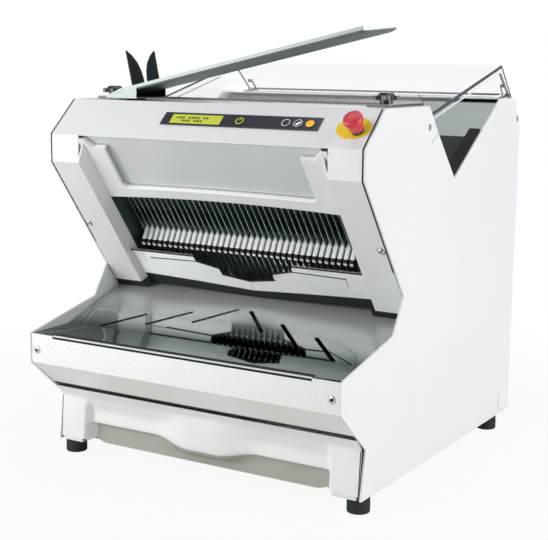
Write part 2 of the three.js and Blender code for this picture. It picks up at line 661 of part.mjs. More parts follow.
// The foot: a flat plate under the left end, with a cheek up to the trough's wall on each side
const footRight = scoopLeft + scoop.footLong;
const footSpan = span(scoopBack, 2 * scoop.half);
const footPlate = stand.block([scoopLeft, footRight], footSpan, [scoopLow, scoopLow + scoop.wall]);
const cheekOutline = [
  [scoopLow, scoopLeft], [scoopLow, footRight],
  [scoopFloor(footRight) + scoop.high / 2, footRight], [scoopLow + scoop.wall, scoopLeft],
];
const footCheeks = [
  [footSpan[0], footSpan[0] + scoop.wall],
  [footSpan[1] - scoop.wall, footSpan[1]],
].map((wall) => stand.bar(cheekOutline, ...wall));
const studAcross = (scoopLeft + footRight) / 2;
const studHole = round(scoop.stud + gap, coverTop, scoopLow + scoop.wall + gap);
const studTool = stand.spun(studHole, studAcross, scoopBack, scoop.segments);
piece('scoop', joined([scoopShell, footPlate, ...footCheeks]).subtract(studTool), stainless);
const capLow = scoopLow + scoop.wall + gap;
const studProfile = [
  [0, coverTop + gap], [scoop.flange, coverTop + gap], [scoop.flange, scoopLow - gap],
  [scoop.stud, scoopLow - gap], [scoop.stud, capLow], [scoop.cap, capLow],
  [scoop.cap, capLow + scoop.wall], [0, capLow + scoop.wall],
];
piece('scoop_bracket', stand.spun(studProfile, studAcross, scoopBack, scoop.segments), blackPlastic);

// Fins: a mirrored pair of blades that stands square to the trough's floor, near its left end
const fin = { along: 54.6, thickness: 3, outer: 38.5, high: 63.5 };
// Distance from the trough's middle and height over its floor, as shares of the fin's own
const finShares = [
  [0.12, 0], [0.8, 0], [0.985, 0.065], [1, 1], [0.68, 0.88], [0.39, 0.7], [0.22, 0.51], [0.13, 0.27],
];
const finAcross = scoopLeft + fin.along;
const finLow = scoopFloor(finAcross) + scoop.wall + 2 * gap;
const finStart = finAcross + scoopRiseShare * finLow;
for (const [name, sign] of [['near', -1], ['far', 1]]) {
  const outline = finShares.map(([outShare, upShare]) => (
    [scoopBack + sign * outShare * fin.outer, finLow + upShare * fin.high]
  ));
  piece(`fin_${name}`, stand.prism(outline, ...span(finStart, fin.thickness), -scoopRiseShare), blackPlastic);
}

// Outlet moulding: band under the wings, cheeks beside the knives, seals under the fascia's legs.
// The band's places along the slope are counted from the fascia's lower corner.
const outlet = {
  bandInset: 8.5, bandTop: 18, bandSide: 50, bandCentre: 58.2, bandOff: 12.6, bandWall: 2.5,
  sealLong: 13, cheekWall: 2.7, cheekOff: 60,
};
const bandHalf = windowHalf - outlet.bandInset;
const cheekHalf = windowHalf - fascia.lean * fascia.flange;
const bandBack = outlet.bandOff + outlet.bandWall;
const sealStart = fasciaEnd + gap;
const bandTop = slopeLow + outlet.bandTop;
const bandLow = slopeLow + outlet.bandSide;
const bandOutline = [
  [-bandHalf, bandTop], [bandHalf, bandTop], [bandHalf, sealStart], [bandHalf + overrun, sealStart],
  [bandHalf + overrun, bandLow], [0, slopeLow + outlet.bandCentre], [-bandHalf - overrun, bandLow],
  [-bandHalf - overrun, sealStart], [-bandHalf, sealStart],
];
const band = slope.plate(bandOutline, outlet.bandOff, bandBack);
const cheekEnd = sealStart + outlet.bandWall;
const outletParts = sides.flatMap(([, sign]) => {
  const cheek = onSide(sign, cheekHalf, cheekHalf + outlet.cheekWall);
  const seal = onSide(sign, bandHalf + gap, innerHalf);
  return [
    slope.block(seal, [sealStart, fasciaEnd + outlet.sealLong], [gap, bandBack]),
    slope.block(cheek, [hood.side + gap, cheekEnd], [fascia.flange + gap, outlet.cheekOff]),
    slope.block(cheek, [sealStart, cheekEnd], [outlet.bandOff, outlet.cheekOff]),
  ];
});
piece('outlet_band', joined([band, ...outletParts]), blackPlastic);

// Wings: stepped sheets that hang from the cheeks and meet in the middle
const wing = {
  inset: 6.6, meet: 0.2, above: 31.5, long: 71, off: 10.9, wall: 1.4, firstRise: 1.6, secondRise: 0.9,
};
// Outlines as shares of the way out from the middle and of the way down
const wingShares = [
  [1, 0], [0.43, 0], [0.42, 0.176], [0.24, 0.331], [0.23, 0.556], [0, 0.683], [0, 1],
  [0.487, 0.894], [1, 0.81],
];
const firstLeafShares = [[1, 0], [0.43, 0], [0.42, 0.162], [0.82, 0.197], [1, 0.197]];
const secondLeafShares = [
  [0.843, 0.218], [0.42, 0.176], [0.24, 0.331], [0.23, 0.542], [0.532, 0.528], [0.843, 0.486],
];
const wingOuter = windowHalf - wing.inset;
function wingLeaf(shares, sign, rise) {
  const outline = shares.map(([across, down]) => [
    sign * THREE.MathUtils.lerp(wing.meet, wingOuter, across),
    slopeLow - wing.above + down * wing.long,
  ]);
  return slope.plate(outline, wing.off - rise, wing.off + wing.wall);
}
for (const [name, sign] of sides) {
  const sheet = wingLeaf(wingShares, sign, 0);
  const first = wingLeaf(firstLeafShares, sign, wing.firstRise);
  const second = wingLeaf(secondLeafShares, sign, wing.secondRise);
  piece(`wing_${name}`, joined([sheet, first, second]), stainless);
}

// Catch table: ramp, flat strip, nose and under-slope in one sheet, with slots through the ramp.
// Its nose stands a little behind the noses of the panels.
const table = {
  setBack: 1.6, endBehind: 10.7, endUp: 2.2, fold: 95.7, turn: 12, underUp: 3.5, slotHalf: 3.5,
  slotSteps: 10,
};
const tableUnderShare = 0.7;
const bandCorner = slope.at(slopeLow + outlet.bandCentre, bandBack);
const tableEnd = offset(bandCorner, table.endBehind, table.endUp);
const foldBack = side.noseTop[0] + table.fold;
const underEnd = side.noseLow.map((value, i) => THREE.MathUtils.lerp(value, side.knee[i], tableUnderShare));
const tableLine = [
  offset(tableEnd, 0, -table.turn), tableEnd, [foldBack, side.noseTop[1]],
  offset(side.noseTop, table.setBack, 0), offset(side.noseLow, table.setBack, 0),
  offset(underEnd, 0, table.underUp),
];
const tableSheet = stand.prism(folded(tableLine, sheetWall), -innerHalf, innerHalf);
// Ends of the slots, as shares of the half width and of the ramp's depth
const slotShares = [
  [[0.045, 0.659], [0.231, 0.334]], [[0.307, 0.502], [0.501, 0.184]], [[0.573, 0.356], [0.77, 0.045]],
];
function slotTool(ends) {
  const rounds = ends.map(([acrossShare, backShare]) => {
    const centre = [acrossShare * innerHalf, THREE.MathUtils.lerp(foldBack, tableEnd[0], backShare)];
    return stand.plate(circle(table.slotHalf, table.slotSteps, centre), side.noseTop[1] - overrun, tableEnd[1]);
  });
  return wasm.Manifold.hull(rounds);
}
const slotTools = slotShares.map(slotTool);
const tableTools = [...slotTools, ...slotTools.map((tool) => tool.mirror([1, 0, 0]))];
piece('catch_table', cut(tableSheet, tableTools), stainless);
const mark = { inset: 45.6, setBack: 7.7, wide: 8, thickness: 2.7 };
const markHalf = innerHalf - mark.inset;
const markUp = [side.noseTop[1] + gap, side.noseTop[1] + gap + mark.thickness];
const markBlock = stand.block([-markHalf, markHalf], span(side.noseTop[0] + mark.setBack, mark.wide), markUp);
piece('table_strip', markBlock, blackPlastic);

// Drawer front, lofted between three side views: the post, the recess and the bulge
const drawer = {
  clear: 1.2, post: 47.8, postIn: 61.4, chamferOut: 50.4, chamferIn: 83.4, chamfer: 11,
  bulgeOut: 150, bulgeIn: 88, wall: 3,
};
const drawerHalf = innerHalf - drawer.clear;
const drawerPost = drawerHalf - drawer.post;
const drawerPostIn = drawerHalf - drawer.postIn;
// Each place as a share of the knee's set-back and of its height over the panels' lower edge
const postShares = [
  [-0.65, 1.236], [0.52, 1.014], [0.4, 0.739], [0.25, 0.459], [0.23, 0.408], [0.16, 0.255],
  [0.07, 0.089],
];
const recessShares = [
  [-0.65, 1.236], [0.52, 1.014], [1.36, 0.739], [1.22, 0.455], [1.94, 0.408], [1.85, 0.204],
  [1.69, 0.006],
];
const frontBulgeShares = [
  [-0.65, 1.236], [0.36, 1.045], [0.31, 0.904], [0.24, 0.446], [0.32, 0.217], [1.21, 0.14],
  [1.69, 0.006],
];
const bulgeShares = [0, 0.2, 0.4, 0.6, 0.8, 1];
const drawerColumns = [
  drawerHalf, drawerPost, (drawerPost + drawerPostIn) / 2, drawerPostIn, drawerHalf - drawer.chamferIn,
  ...bulgeShares.map((share) => THREE.MathUtils.lerp(drawer.bulgeOut, drawer.bulgeIn, share)),
  drawer.bulgeIn / 2, 0,
];
const drawerAcross = [...drawerColumns.map((x) => -x), ...drawerColumns.slice(0, -1).reverse()];
const [kneeBack, kneeUp] = run(side.frontFoot, side.knee);
const drawerView = ([backShare, upShare]) => (
  offset(side.frontFoot, kneeBack * backShare, kneeUp * upShare)
);
function drawerPlace(x, row) {
  const across = Math.abs(x);
  const inPost = THREE.MathUtils.clamp((across - drawerPostIn) / (drawerPost - drawerPostIn), 0, 1);
  const inBulge = 1 - ease(drawer.bulgeIn, drawer.bulgeOut, across);
  const views = [postShares, recessShares, frontBulgeShares];
  const [post, recess, bulge] = views.map((view) => drawerView(view[row]));
  const mixed = recess.map((value, i) => (
    value + (post[i] - value) * inPost + (bulge[i] - value) * inBulge
  ));
  const risen = ease(drawerHalf - drawer.chamferIn, drawerHalf - drawer.chamferOut, across);
  const lowest = drawerView(recessShares.at(-1))[1] + drawer.chamfer * risen * (1 - inPost);
  return [mixed[0], Math.max(mixed[1], lowest)];
}
const drawerRows = postShares.map((_, row) => row);
const drawerSurface = (setBack) => (x, row) => {
  const [y, z] = drawerPlace(x, row);
  return [x, y + setBack, z];
};
const drawerWall = moulded(drawerAcross, drawerRows, drawerSurface(0), drawerSurface(drawer.wall));
piece('drawer_front', drawerWall, whitePlastic);

// Knives: two frames of blades that stand in each other's gaps. The posts of the frames stand
// outside the window, and the blades narrow to tangs that clear the other frame's bars.
const slice = { pitch: 11.3, sideRoom: 16 };
const bladeCount = 2 * Math.floor((windowHalf - slice.sideRoom) / slice.pitch);
const blade = { thickness: 0.8, near: 41, far: 53, top: 50, below: 71, taper: 43 };
const frame = {
  outside: 8, post: 8, top: 44, below: 79, bar: 14, wall: 8, near: [36, 50],
  tang: [[38, 43], [51, 56]],
};
const frameHalf = windowHalf + frame.outside;
const frameLow = slopeLow + frame.below;
const bladeLow = slopeLow + blade.below;
const frameMiddle = (blade.near + blade.far) / 2;
const crank = { below: 158, inset: 2.9, shaft: 8, throw: 10, disc: 22, discWide: 8 };
const rod = {
  across: 31.7, wide: 8, eye: 28, eyeHole: 19, small: 9, below: 93, pin: 4, lugWide: 8, arm: 8,
  steps: 22,
};
const bigEnd = [slopeLow + crank.below, frameMiddle];
function bladeShape(index) {
  const x = (index - (bladeCount - 1) / 2) * slice.pitch;
  const [tangNear, tangFar] = frame.tang[index % 2];
  const bodyTop = blade.top + blade.taper;
  const bodyLow = bladeLow - blade.taper;
  return slope.prism([
    [blade.top, tangNear], [blade.top, tangFar], [bodyTop, blade.far], [bodyLow, blade.far],
    [bladeLow, tangFar], [bladeLow, tangNear], [bodyLow, blade.near], [bodyTop, blade.near],
  ], ...span(x, blade.thickness));
}
['a', 'b'].forEach((name, index) => {
  const near = frame.near[index];
  const far = near + frame.wall;
  const outer = rectangle(-frameHalf, frameHalf, frame.top, frameLow);
  const inner = rectangle(
    frame.post - frameHalf,
    frameHalf - frame.post,
    frame.top + frame.bar,
    frameLow - frame.bar,
  );
  const ring = slope.plate(outer, near, far).subtract(slope.plate(inner, near - overrun, far + overrun));
  const blades = Array.from({ length: bladeCount }, (_, i) => i)
    .filter((i) => i % 2 === index)
    .map(bladeShape);
  const sign = index ? 1 : -1;
  const rodFar = rod.across + rod.wide;
  const smallEnd = [slopeLow + rod.below, (near + far) / 2];
  const lugReach = [frameLow - overrun, slopeLow + rod.below + rod.small];
  const lugAcross = onSide(sign, rod.across - gap - rod.lugWide, rod.across - gap);
  const lug = slope.block(lugAcross, lugReach, [near, far]);
  const pinBar = round(rod.pin, ...onSide(sign, rod.across - rod.lugWide, rodFar));
  const lugPin = slope.axle(pinBar, smallEnd, rod.steps);
  piece(`knife_frame_${name}`, joined([ring, ...blades, lug, lugPin]), steel);

  const place = onSide(sign, rod.across, rodFar);
  const disc = (radius, centre) => slope.prism(circle(radius, rod.steps, centre), ...place);
  const armLine = [smallEnd, bigEnd].map((end) => offset(end, 0, -rod.arm));
  const armOutline = [...armLine, ...armLine.map((end) => offset(end, 0, 2 * rod.arm)).reverse()];
  const body = joined([disc(rod.eye, bigEnd), disc(rod.small, smallEnd), slope.prism(armOutline, ...place)]);
  piece(`rod_${name}`, cut(body, [disc(rod.eyeHole, bigEnd), disc(rod.pin + gap, smallEnd)]), castAluminium);
});

// Guides for the posts of both frames
const guide = { inset: 10, above: 117, below: 3, low: 34, high: 60 };
const guideReach = [slopeLow - guide.above, slopeLow + guide.below];
const guideNotches = frame.near.map((near) => slope.block(
  [0, frameHalf + gap],
  [guideReach[0] - overrun, guideReach[1] + overrun],
  [near - gap, near + frame.wall + gap],
));
const guideBlock = slope.block([frameHalf - guide.inset, panHalf], guideReach, [guide.low, guide.high]);
const guideRight = cut(guideBlock, guideNotches);
piece('frame_guide_right', guideRight, whitePlastic);
piece('frame_guide_left', guideRight.mirror([1, 0, 0]), whitePlastic);

// Infeed floor with its mat, between two grooved rails. It ends a little behind the knives. The
// rails fill the room beside the chassis plates where these stay below the floor.
const floor = { clear: 4.3, beyond: 23.8, turn: 20, matEnd: 83.1, mat: 2 };
const rail = { wide: 14, high: 20, setBack: 2, open: 4, groove: 8, grooveLow: 6, grooveTop: 12 };
const notchLong = Math.hypot(...run(side.notchLow, side.notchRear));
const floorTop = notchLong + floor.beyond;
const matTop = notchLong - floor.matEnd;
const floorOff = frame.near[1] + frame.wall + floor.clear;
const floorLow = (floorOff - slope.from(floorStart)[1]) / infeed.run.dot(slope.rise);
const floorLine = [[floorTop, 0], [floorLow, 0], [floorLow, -floor.turn]];
piece('infeed_floor', infeed.prism(folded(floorLine, sheetWall), -panHalf, panHalf), stainless);
const railNear = panHalf - rail.wide;
const railLow = floorLow + rail.setBack;
const railOff = [gap, gap + rail.high];
const matHalf = railNear - gap;
const matSheet = infeed.block([-matHalf, matHalf], [railLow, matTop], [gap, gap + floor.mat]);
piece('infeed_mat', matSheet, rubber);
for (const [name, sign] of sides) {
  const bar = infeed.block(onSide(sign, railNear, panHalf), [railLow, matTop], railOff);
  const filler = infeed.block(onSide(sign, panHalf - overrun, innerHalf), [rail.open, matTop], railOff);
  const groove = infeed.block(
    onSide(sign, railNear - overrun, railNear + rail.groove),
    [railLow - overrun, matTop + overrun],
    [rail.grooveLow, rail.grooveTop],
  );
  piece(`guide_rail_${name}`, bar.add(filler).subtract(groove), blackPlastic);
}

// Motor and belt drive on the left
const drive = { inset: 15.9, wide: 14, rim: 2, flange: 5, crankRadius: 70, motorRadius: 25, segments: 30 };
const motor = {
  setBack: 179.7, up: 95, radius: 65, inset: 48.9, inner: 35, shaft: 9, bore: 24, foot: 40,
  footWall: 6,
};
const driveLeft = drive.inset - panHalf;
const motorPlace = [side.rearFoot[0] - motor.setBack, footHeight + motor.up];
const motorLeft = motor.inset - panHalf;
const motorRight = -motor.inner;
function pulleyProfile(radius, bore) {
  const [left, right] = [driveLeft, driveLeft + drive.wide];
  return [
    [bore, left], [radius + drive.flange, left], [radius + drive.flange, left + drive.rim],
    [radius, left + drive.rim], [radius, right - drive.rim], [radius + drive.flange, right - drive.rim],
    [radius + drive.flange, right], [bore, right], [bore, left],
  ];
}

// Crankshaft with two eccentrics and its pulley, in two bearings
const crankPlace = stand.from(slope.at(...bigEnd));
const crankHalf = panHalf - crank.inset;
const shaftBar = stand.axle(round(crank.shaft, -crankHalf, crankHalf), crankPlace, rod.steps);
const discStart = rod.across + rod.wide + gap;
const eccentrics = sides.map(([, sign]) => slope.axle(
  round(crank.disc, ...onSide(sign, discStart, discStart + crank.discWide)),
  offset(bigEnd, 0, sign * crank.throw),
  rod.steps,
));
const crankPulley = pulleyProfile(drive.crankRadius, crank.shaft - gap);
const crankParts = [shaftBar, ...eccentrics, stand.axle(crankPulley, crankPlace, drive.segments)];
piece('crankshaft', joined(crankParts), steel);
const bearing = { wide: 12.9, half: 16, high: 32 };
const bearingBore = stand.axle(round(crank.shaft + gap, 0, width / 2), crankPlace, rod.steps);
const bearingRight = stand.block(
  [panHalf - bearing.wide, panHalf],
  span(crankPlace[0], 2 * bearing.half),
  span(crankPlace[1], bearing.high),
).subtract(bearingBore);
piece('bearing_right', bearingRight, castAluminium);
piece('bearing_left', bearingRight.mirror([1, 0, 0]), castAluminium);

const motorPulley = stand.axle(pulleyProfile(drive.motorRadius, motor.shaft - gap), motorPlace, drive.segments);
const motorShaft = round(motor.shaft, driveLeft, motorLeft + motor.bore - overrun);
piece('motor_pulley', motorPulley.add(stand.axle(motorShaft, motorPlace, rod.steps)), castAluminium);

const motorBody = stand.axle([
  [motor.shaft + gap, motorLeft], [motor.radius / 2, motorLeft],
  [motor.radius, motorLeft + motor.bore / 2], [motor.radius, motorRight - motor.bore / 2],
  [motor.radius / 2, motorRight], [0, motorRight], [0, motorLeft + motor.bore],
  [motor.shaft + gap, motorLeft + motor.bore], [motor.shaft + gap, motorLeft],
], motorPlace, drive.segments);
const motorSpan = [motorLeft + motor.foot, motorRight - motor.foot];
const footLow = panTop + gap;
const footUp = [footLow, footLow + motor.footWall];
const motorFoot = stand.block(motorSpan, span(motorPlace[0], 2 * motor.radius), footUp);
const neckUp = [footLow, motorPlace[1] - motor.radius / 2];
const motorNeck = stand.block(motorSpan, span(motorPlace[0], motor.radius), neckUp);
piece('motor', joined([motorBody, motorFoot, motorNeck]), darkSteel);

// Crumb tray behind the drawer front, ending ahead of the motor
const tray = { beyond: 5, motorRoom: 35, rise: 1.1, high: 65, wall: 1.5 };
const trayHalf = drawerPostIn + tray.beyond;
const frontDeep = kneeBack * Math.max(...recessShares.map(([backShare]) => backShare));
const trayBack = [frontDeep + drawer.wall + gap, motorPlace[0] - motor.radius - tray.motorRoom];
const trayUp = [panTop + tray.rise, footHeight + tray.high];
const trayBlock = stand.block([-trayHalf, trayHalf], trayBack, trayUp);
const trayPocket = stand.block(
  [tray.wall - trayHalf, trayHalf - tray.wall],
  [trayBack[0] + tray.wall, trayBack[1] - tray.wall],
  [trayUp[0] + tray.wall, trayUp[1] + overrun],
);
piece('crumb_tray', trayBlock.subtract(trayPocket), stainless);

// Belt: the line round both pulleys, grown by a distance
const belt = { thickness: 4, steps: 24 };
function beltLine(grown) {
  const reach = run(crankPlace, motorPlace);
  const distance = Math.hypot(...reach);
  const heading = Math.atan2(reach[1], reach[0]);
  const turn = Math.acos((drive.crankRadius - drive.motorRadius) / distance);
  const arc = ([y, z], radius, from, to) => Array.from({ length: belt.steps + 1 }, (_, i) => {
    const angle = THREE.MathUtils.lerp(from, to, i / belt.steps);
    return [y + (radius + grown) * Math.cos(angle), z + (radius + grown) * Math.sin(angle)];
  });
  return [
    ...arc(crankPlace, drive.crankRadius, heading + turn, heading + 2 * Math.PI - turn),
    ...arc(motorPlace, drive.motorRadius, heading - turn, heading + turn),
  ];
}
const beltAcross = [driveLeft + drive.rim + gap, driveLeft + drive.wide - drive.rim - gap];
const beltInside = stand.prism(beltLine(gap), beltAcross[0] - overrun, beltAcross[1] + overrun);
piece('belt', stand.prism(beltLine(gap + belt.thickness), ...beltAcross).subtract(beltInside), rubber);

// Electrics box: a cover on the base pan beside the motor
const box = { inner: 40, inset: 48.9, rearIn: 49.7, long: 160, high: 138.2, wall: 2 };
const boxRight = panHalf - box.inset;
const boxRear = side.rearFoot[0] - box.rearIn;
const boxFront = boxRear - box.long;
const boxLow = panTop + gap;
const boxTop = boxLow + box.high;
const boxBlock = stand.block([box.inner, boxRight], [boxFront, boxRear], [boxLow, boxTop]);
const boxPocket = stand.block(
  [box.inner + box.wall, boxRight - box.wall],
  [boxFront + box.wall, boxRear - box.wall],
  [boxLow - overrun, boxTop - box.wall],
);
piece('electrics_box', boxBlock.subtract(boxPocket), darkPlastic);

// Pusher: a comb of fingers in the gaps between the blades, on a beam with tongues in the rails
const finger = { long: 66, wide: 7.3, front: 20.5, comb: 62, combWall: 4 };
const beam = { lift: 8, drop: 4, wall: 5, inset: 7, tongue: 30, tongueHigh: 5 };
// A finger's edge, as shares of its way down and of its way from the front back to the comb
const fingerShares = [
  [0, 1], [0.045, 0.108], [0.106, 0], [0.727, 0], [0.758, 0.157], [0.848, 0.157], [0.864, 0],
  [0.97, 0], [1, 1],
];
const beamNear = finger.comb + finger.combWall + gap;
const floorAtBeam = infeed.from(slope.at(0, beamNear))[1] / -slope.run.dot(infeed.rise);
const fingerTop = floorAtBeam - beam.lift - finger.long;
const fingerOutline = fingerShares.map(([down, back]) => (
  [fingerTop + down * finger.long, THREE.MathUtils.lerp(finger.front, finger.comb, back)]
));
const fingers = Array.from({ length: bladeCount - 1 }, (_, i) => (
  slope.prism(fingerOutline, ...span((i + 1 - bladeCount / 2) * slice.pitch, finger.wide))
));
const combHalf = (bladeCount / 2) * slice.pitch;
const combReach = [fingerTop, fingerTop + finger.long];
const combOff = [finger.comb - gap, finger.comb + finger.combWall];
const combSheet = slope.block([-combHalf, combHalf], combReach, combOff);
piece('pusher_fingers', joined([...fingers, combSheet]), whitePlastic);
const beamHalf = windowHalf - beam.inset;
const beamReach = [fingerTop + beam.drop, fingerTop + finger.long];
const beamBar = slope.block([-beamHalf, beamHalf], beamReach, [beamNear, beamNear + beam.wall]);
const tongueStart = infeed.from(slope.at(fingerTop + finger.long, beamNear))[0];
const tongueOff = span((rail.grooveLow + rail.grooveTop) / 2, beam.tongueHigh);
const tongues = sides.map(([, sign]) => infeed.block(
  onSide(sign, beamHalf - overrun, railNear + rail.groove - gap),
  [tongueStart, tongueStart + beam.tongue],
  tongueOff,
));
piece('pusher_beam', joined([beamBar, ...tongues]), stainless);

export default machine;
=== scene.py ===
"""The looks of a table-top bread slicing machine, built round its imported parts.

Lengths are in millimetres, set back from the lower front corner of the side panels and up from
the floor, as in the part's own source. They become metres where a mesh is finished.
"""

from __future__ import annotations

import json
import logging
import math
from dataclasses import dataclass, field
from enum import Enum
from typing import Any, Callable, Iterable, Sequence

import bmesh
import bpy
from mathutils import Matrix, Vector

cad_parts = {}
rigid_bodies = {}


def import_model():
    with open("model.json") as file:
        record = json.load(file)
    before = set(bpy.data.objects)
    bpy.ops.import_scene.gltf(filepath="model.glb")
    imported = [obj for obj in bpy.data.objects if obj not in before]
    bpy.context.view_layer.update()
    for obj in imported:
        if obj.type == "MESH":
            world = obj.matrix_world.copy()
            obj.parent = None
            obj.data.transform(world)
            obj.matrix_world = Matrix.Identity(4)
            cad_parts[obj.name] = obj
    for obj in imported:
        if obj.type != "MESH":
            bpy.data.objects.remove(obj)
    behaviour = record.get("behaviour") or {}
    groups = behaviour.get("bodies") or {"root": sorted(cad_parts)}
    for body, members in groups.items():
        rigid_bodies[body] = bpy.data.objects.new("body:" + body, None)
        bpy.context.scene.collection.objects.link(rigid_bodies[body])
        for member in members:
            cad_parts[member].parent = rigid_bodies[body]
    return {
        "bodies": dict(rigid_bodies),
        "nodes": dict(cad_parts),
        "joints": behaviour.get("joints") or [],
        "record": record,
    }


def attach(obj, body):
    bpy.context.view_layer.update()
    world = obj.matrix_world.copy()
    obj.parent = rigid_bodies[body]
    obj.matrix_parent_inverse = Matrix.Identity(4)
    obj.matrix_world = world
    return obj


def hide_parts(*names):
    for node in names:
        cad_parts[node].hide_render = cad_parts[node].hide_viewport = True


LOG = logging.getLogger("slicer")

Point = tuple[float, float]
Triple = tuple[float, float, float]
Outline = tuple[Point, ...]
Side = tuple[str, int]
Vert = bmesh.types.BMVert
Face = bmesh.types.BMFace
FaceTest = Callable[[Face], bool]

SIDES: tuple[Side, Side] = (("left", -1), ("right", 1))
MM = 0.001
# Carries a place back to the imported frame, which has its origin in the machine's middle
SET_BACK = -270.0
# Thickness of a printed mark
PRINT = 0.1
# Corners that are nearer to each other than this are merged
MERGE = 1e-4
# Degrees that an edge turns by: it is shaded smooth under the first, or under the second on a
# pressed sheet, rounded over the third, and left out of a copied mesh under the fourth
SMOOTH = 32.0
SMOOTH_PRESSED = 60.0
SHARP = 28.0
FLAT = 0.4


# Places


@dataclass(frozen=True)
class Plane:
    """A plane that holds X, with its origin and its direction in the side view."""

    origin: Point
    run: Point

    def place(self, x: float, along: float, off: float = 0.0) -> Matrix:
        """A local frame on the plane.

        Args:
            x: Place across the machine.
            along: Distance along the plane.
            off: Distance square to the plane.

        Returns:
            The matrix that carries local (x, along, off) to the machine, in millimetres.
        """
        across = Vector((1.0, 0.0, 0.0))
        run = Vector((0.0, *self.run)).normalized()
        rise = across.cross(run)
        spot = Vector((0.0, *self.origin)) + across * x + run * along + rise * off
        return Matrix.Translation(spot) @ Matrix((across, run, rise)).transposed().to_4x4()


SLOPE = Plane((-10.4, 504.9), (142.6, -189.3))
FACE = Plane((-10.4, 550.7), (59.9, 55.8))
OUTWARD = Matrix.Rotation(math.pi, 4, "X")
FACING_RIGHT = Matrix.Rotation(math.pi / 2, 4, "Y")
FACING_FRONT = Matrix.Rotation(math.pi / 2, 4, "X")
# Carries an outline in (along, off) and a reach across to a plane's own axes
EDGEWISE = Matrix(((0, 0, 1, 0), (1, 0, 0, 0), (0, 1, 0, 0), (0, 0, 0, 1)))


# Shader maths


class Value:
    """A shader socket that takes part in Python sums."""

    def __init__(self, recipe: Recipe, socket: bpy.types.NodeSocket) -> None:
        """Wraps a socket of a recipe's node tree."""
        self.recipe = recipe
        self.socket = socket

    def _math(self, operation: str, *terms: Term) -> Value:
        """One Math node over the given terms."""
        inputs = dict(enumerate(terms))
        return self.recipe.node("ShaderNodeMath", {"operation": operation}, inputs)

    def __add__(self, other: Term) -> Value:
        """The sum of two values."""
        return self._math("ADD", self, other)

    def __mul__(self, other: Term) -> Value:
        """The product of two values."""
        return self._math("MULTIPLY", self, other)

    def __sub__(self, other: Term) -> Value:
        """The difference of two values."""
        return self._math("SUBTRACT", self, other)

    def __rsub__(self, other: Term) -> Value:
        """The difference of a number and this value."""
        return self._math("SUBTRACT", other, self)

    __radd__ = __add__
    __rmul__ = __mul__

    def larger(self, other: Term) -> Value:
        """The larger of two values."""
        return self._math("MAXIMUM", self, other)

    def step(self, low: float, high: float) -> Value:
        """A soft step from 0 at low to 1 at high."""
        inputs = {"Value": self, "From Min": low, "From Max": high}
        return self.recipe.node("ShaderNodeMapRange", {"interpolation_type": "SMOOTHSTEP"}, inputs)


Term = Value | float


class Recipe:
    """The nodes of a material or of the world, in the making."""

    def __init__(
        self, owner: bpy.types.Material | bpy.types.World, shader: str = "Principled BSDF"
    ) -> None:
        """Turns the owner's nodes on.

        Args:
            owner: The material or the world.
            shader: The name of the shader that it comes with.
        """
        owner.use_nodes = True
        self.tree = owner.node_tree
        self.shader = self.tree.nodes[shader]

    def node(
        self,
        kind: str,
        settings: dict[str, Any] | None = None,
        inputs: dict[Any, Any] | None = None,
        output: int | str = 0,
    ) -> Value:
        """Adds one node.

        Args:
            kind: The node's type.
            settings: Properties that are set before its sockets.
            inputs: Numbers, colours or links by socket name or index.
            output: The socket that is handed on.

        Returns:
            The chosen output.
        """
        made = self.tree.nodes.new(kind)
        for key, setting in (settings or {}).items():
            setattr(made, key, setting)
        for key, term in (inputs or {}).items():
            self.feed(made.inputs[key], term)
        return Value(self, made.outputs[output])

    def feed(self, socket: bpy.types.NodeSocket, term: Any) -> None:
        """Sets a socket, or links it.

        Args:
            socket: The socket.
            term: A number, a colour, a vector or another node's value.
        """
        if isinstance(term, Value):
            self.tree.links.new(term.socket, socket)
        elif isinstance(term, tuple) and socket.type == "RGBA":
            socket.default_value = (*term, 1.0)
        else:
            socket.default_value = term

    def surface(self, **terms: Any) -> None:
        """Feeds the first shader's sockets, named with underscores for spaces."""
        for key, term in terms.items():
            self.feed(self.shader.inputs[key.replace("_", " ")], term)

    def mix_in(self, factor: Term, second: Value, output: str) -> None:
        """Mixes the first shader with a second one.

        Args:
            factor: 0 for the first shader and 1 for the second.
            second: The second shader.
            output: The name of the output node.
        """
        terms = {0: factor, 1: Value(self, self.shader.outputs[0]), 2: second}
        mixed = self.node("ShaderNodeMixShader", {}, terms)
        self.feed(self.tree.nodes[output].inputs["Surface"], mixed)

    def spot(self) -> Value:
        """Object coordinates in metres."""
        return self.node("ShaderNodeTexCoord", output="Object")

    def axes(self) -> tuple[Value, ...]:
        """The three object coordinates in metres, one value each."""
        split = self.node("ShaderNodeSeparateXYZ", {}, {0: self.spot()}).socket.node
        return tuple(Value(self, socket) for socket in split.outputs)

    def noise(self, scale: float, detail: float = 2.0, stretch: Triple = (1.0, 1.0, 1.0)) -> Value:
        """Smooth noise between 0 and 1.

        Args:
            scale: Lumps in a metre.
            detail: Octaves.
            stretch: Scale of each axis, to draw the noise out.

        Returns:
            The noise value.
        """
        place = self.node("ShaderNodeMapping", {}, {"Vector": self.spot(), "Scale": stretch})
        inputs = {"Vector": place, "Scale": scale, "Detail": detail}
        return self.node("ShaderNodeTexNoise", {}, inputs)

    def blend(self, factor: Term, first: Any, second: Any) -> Value:
        """Mixes two colours by a factor, through the node's colour sockets."""
        colours = {0: factor, 6: first, 7: second}
        return self.node("ShaderNodeMix", {"data_type": "RGBA"}, colours, 2)

    def bump(self, height: Value, strength: float, distance: float) -> None:
        """Raises the surface by a height value.

        Args:
            height: The height, from 0 to 1.
            strength: Share of the full effect.
            distance: Height of the full relief, in millimetres.
        """
        inputs = {"Height": height, "Strength": strength, "Distance": distance * MM}
        self.surface(Normal=self.node("ShaderNodeBump", {}, inputs))


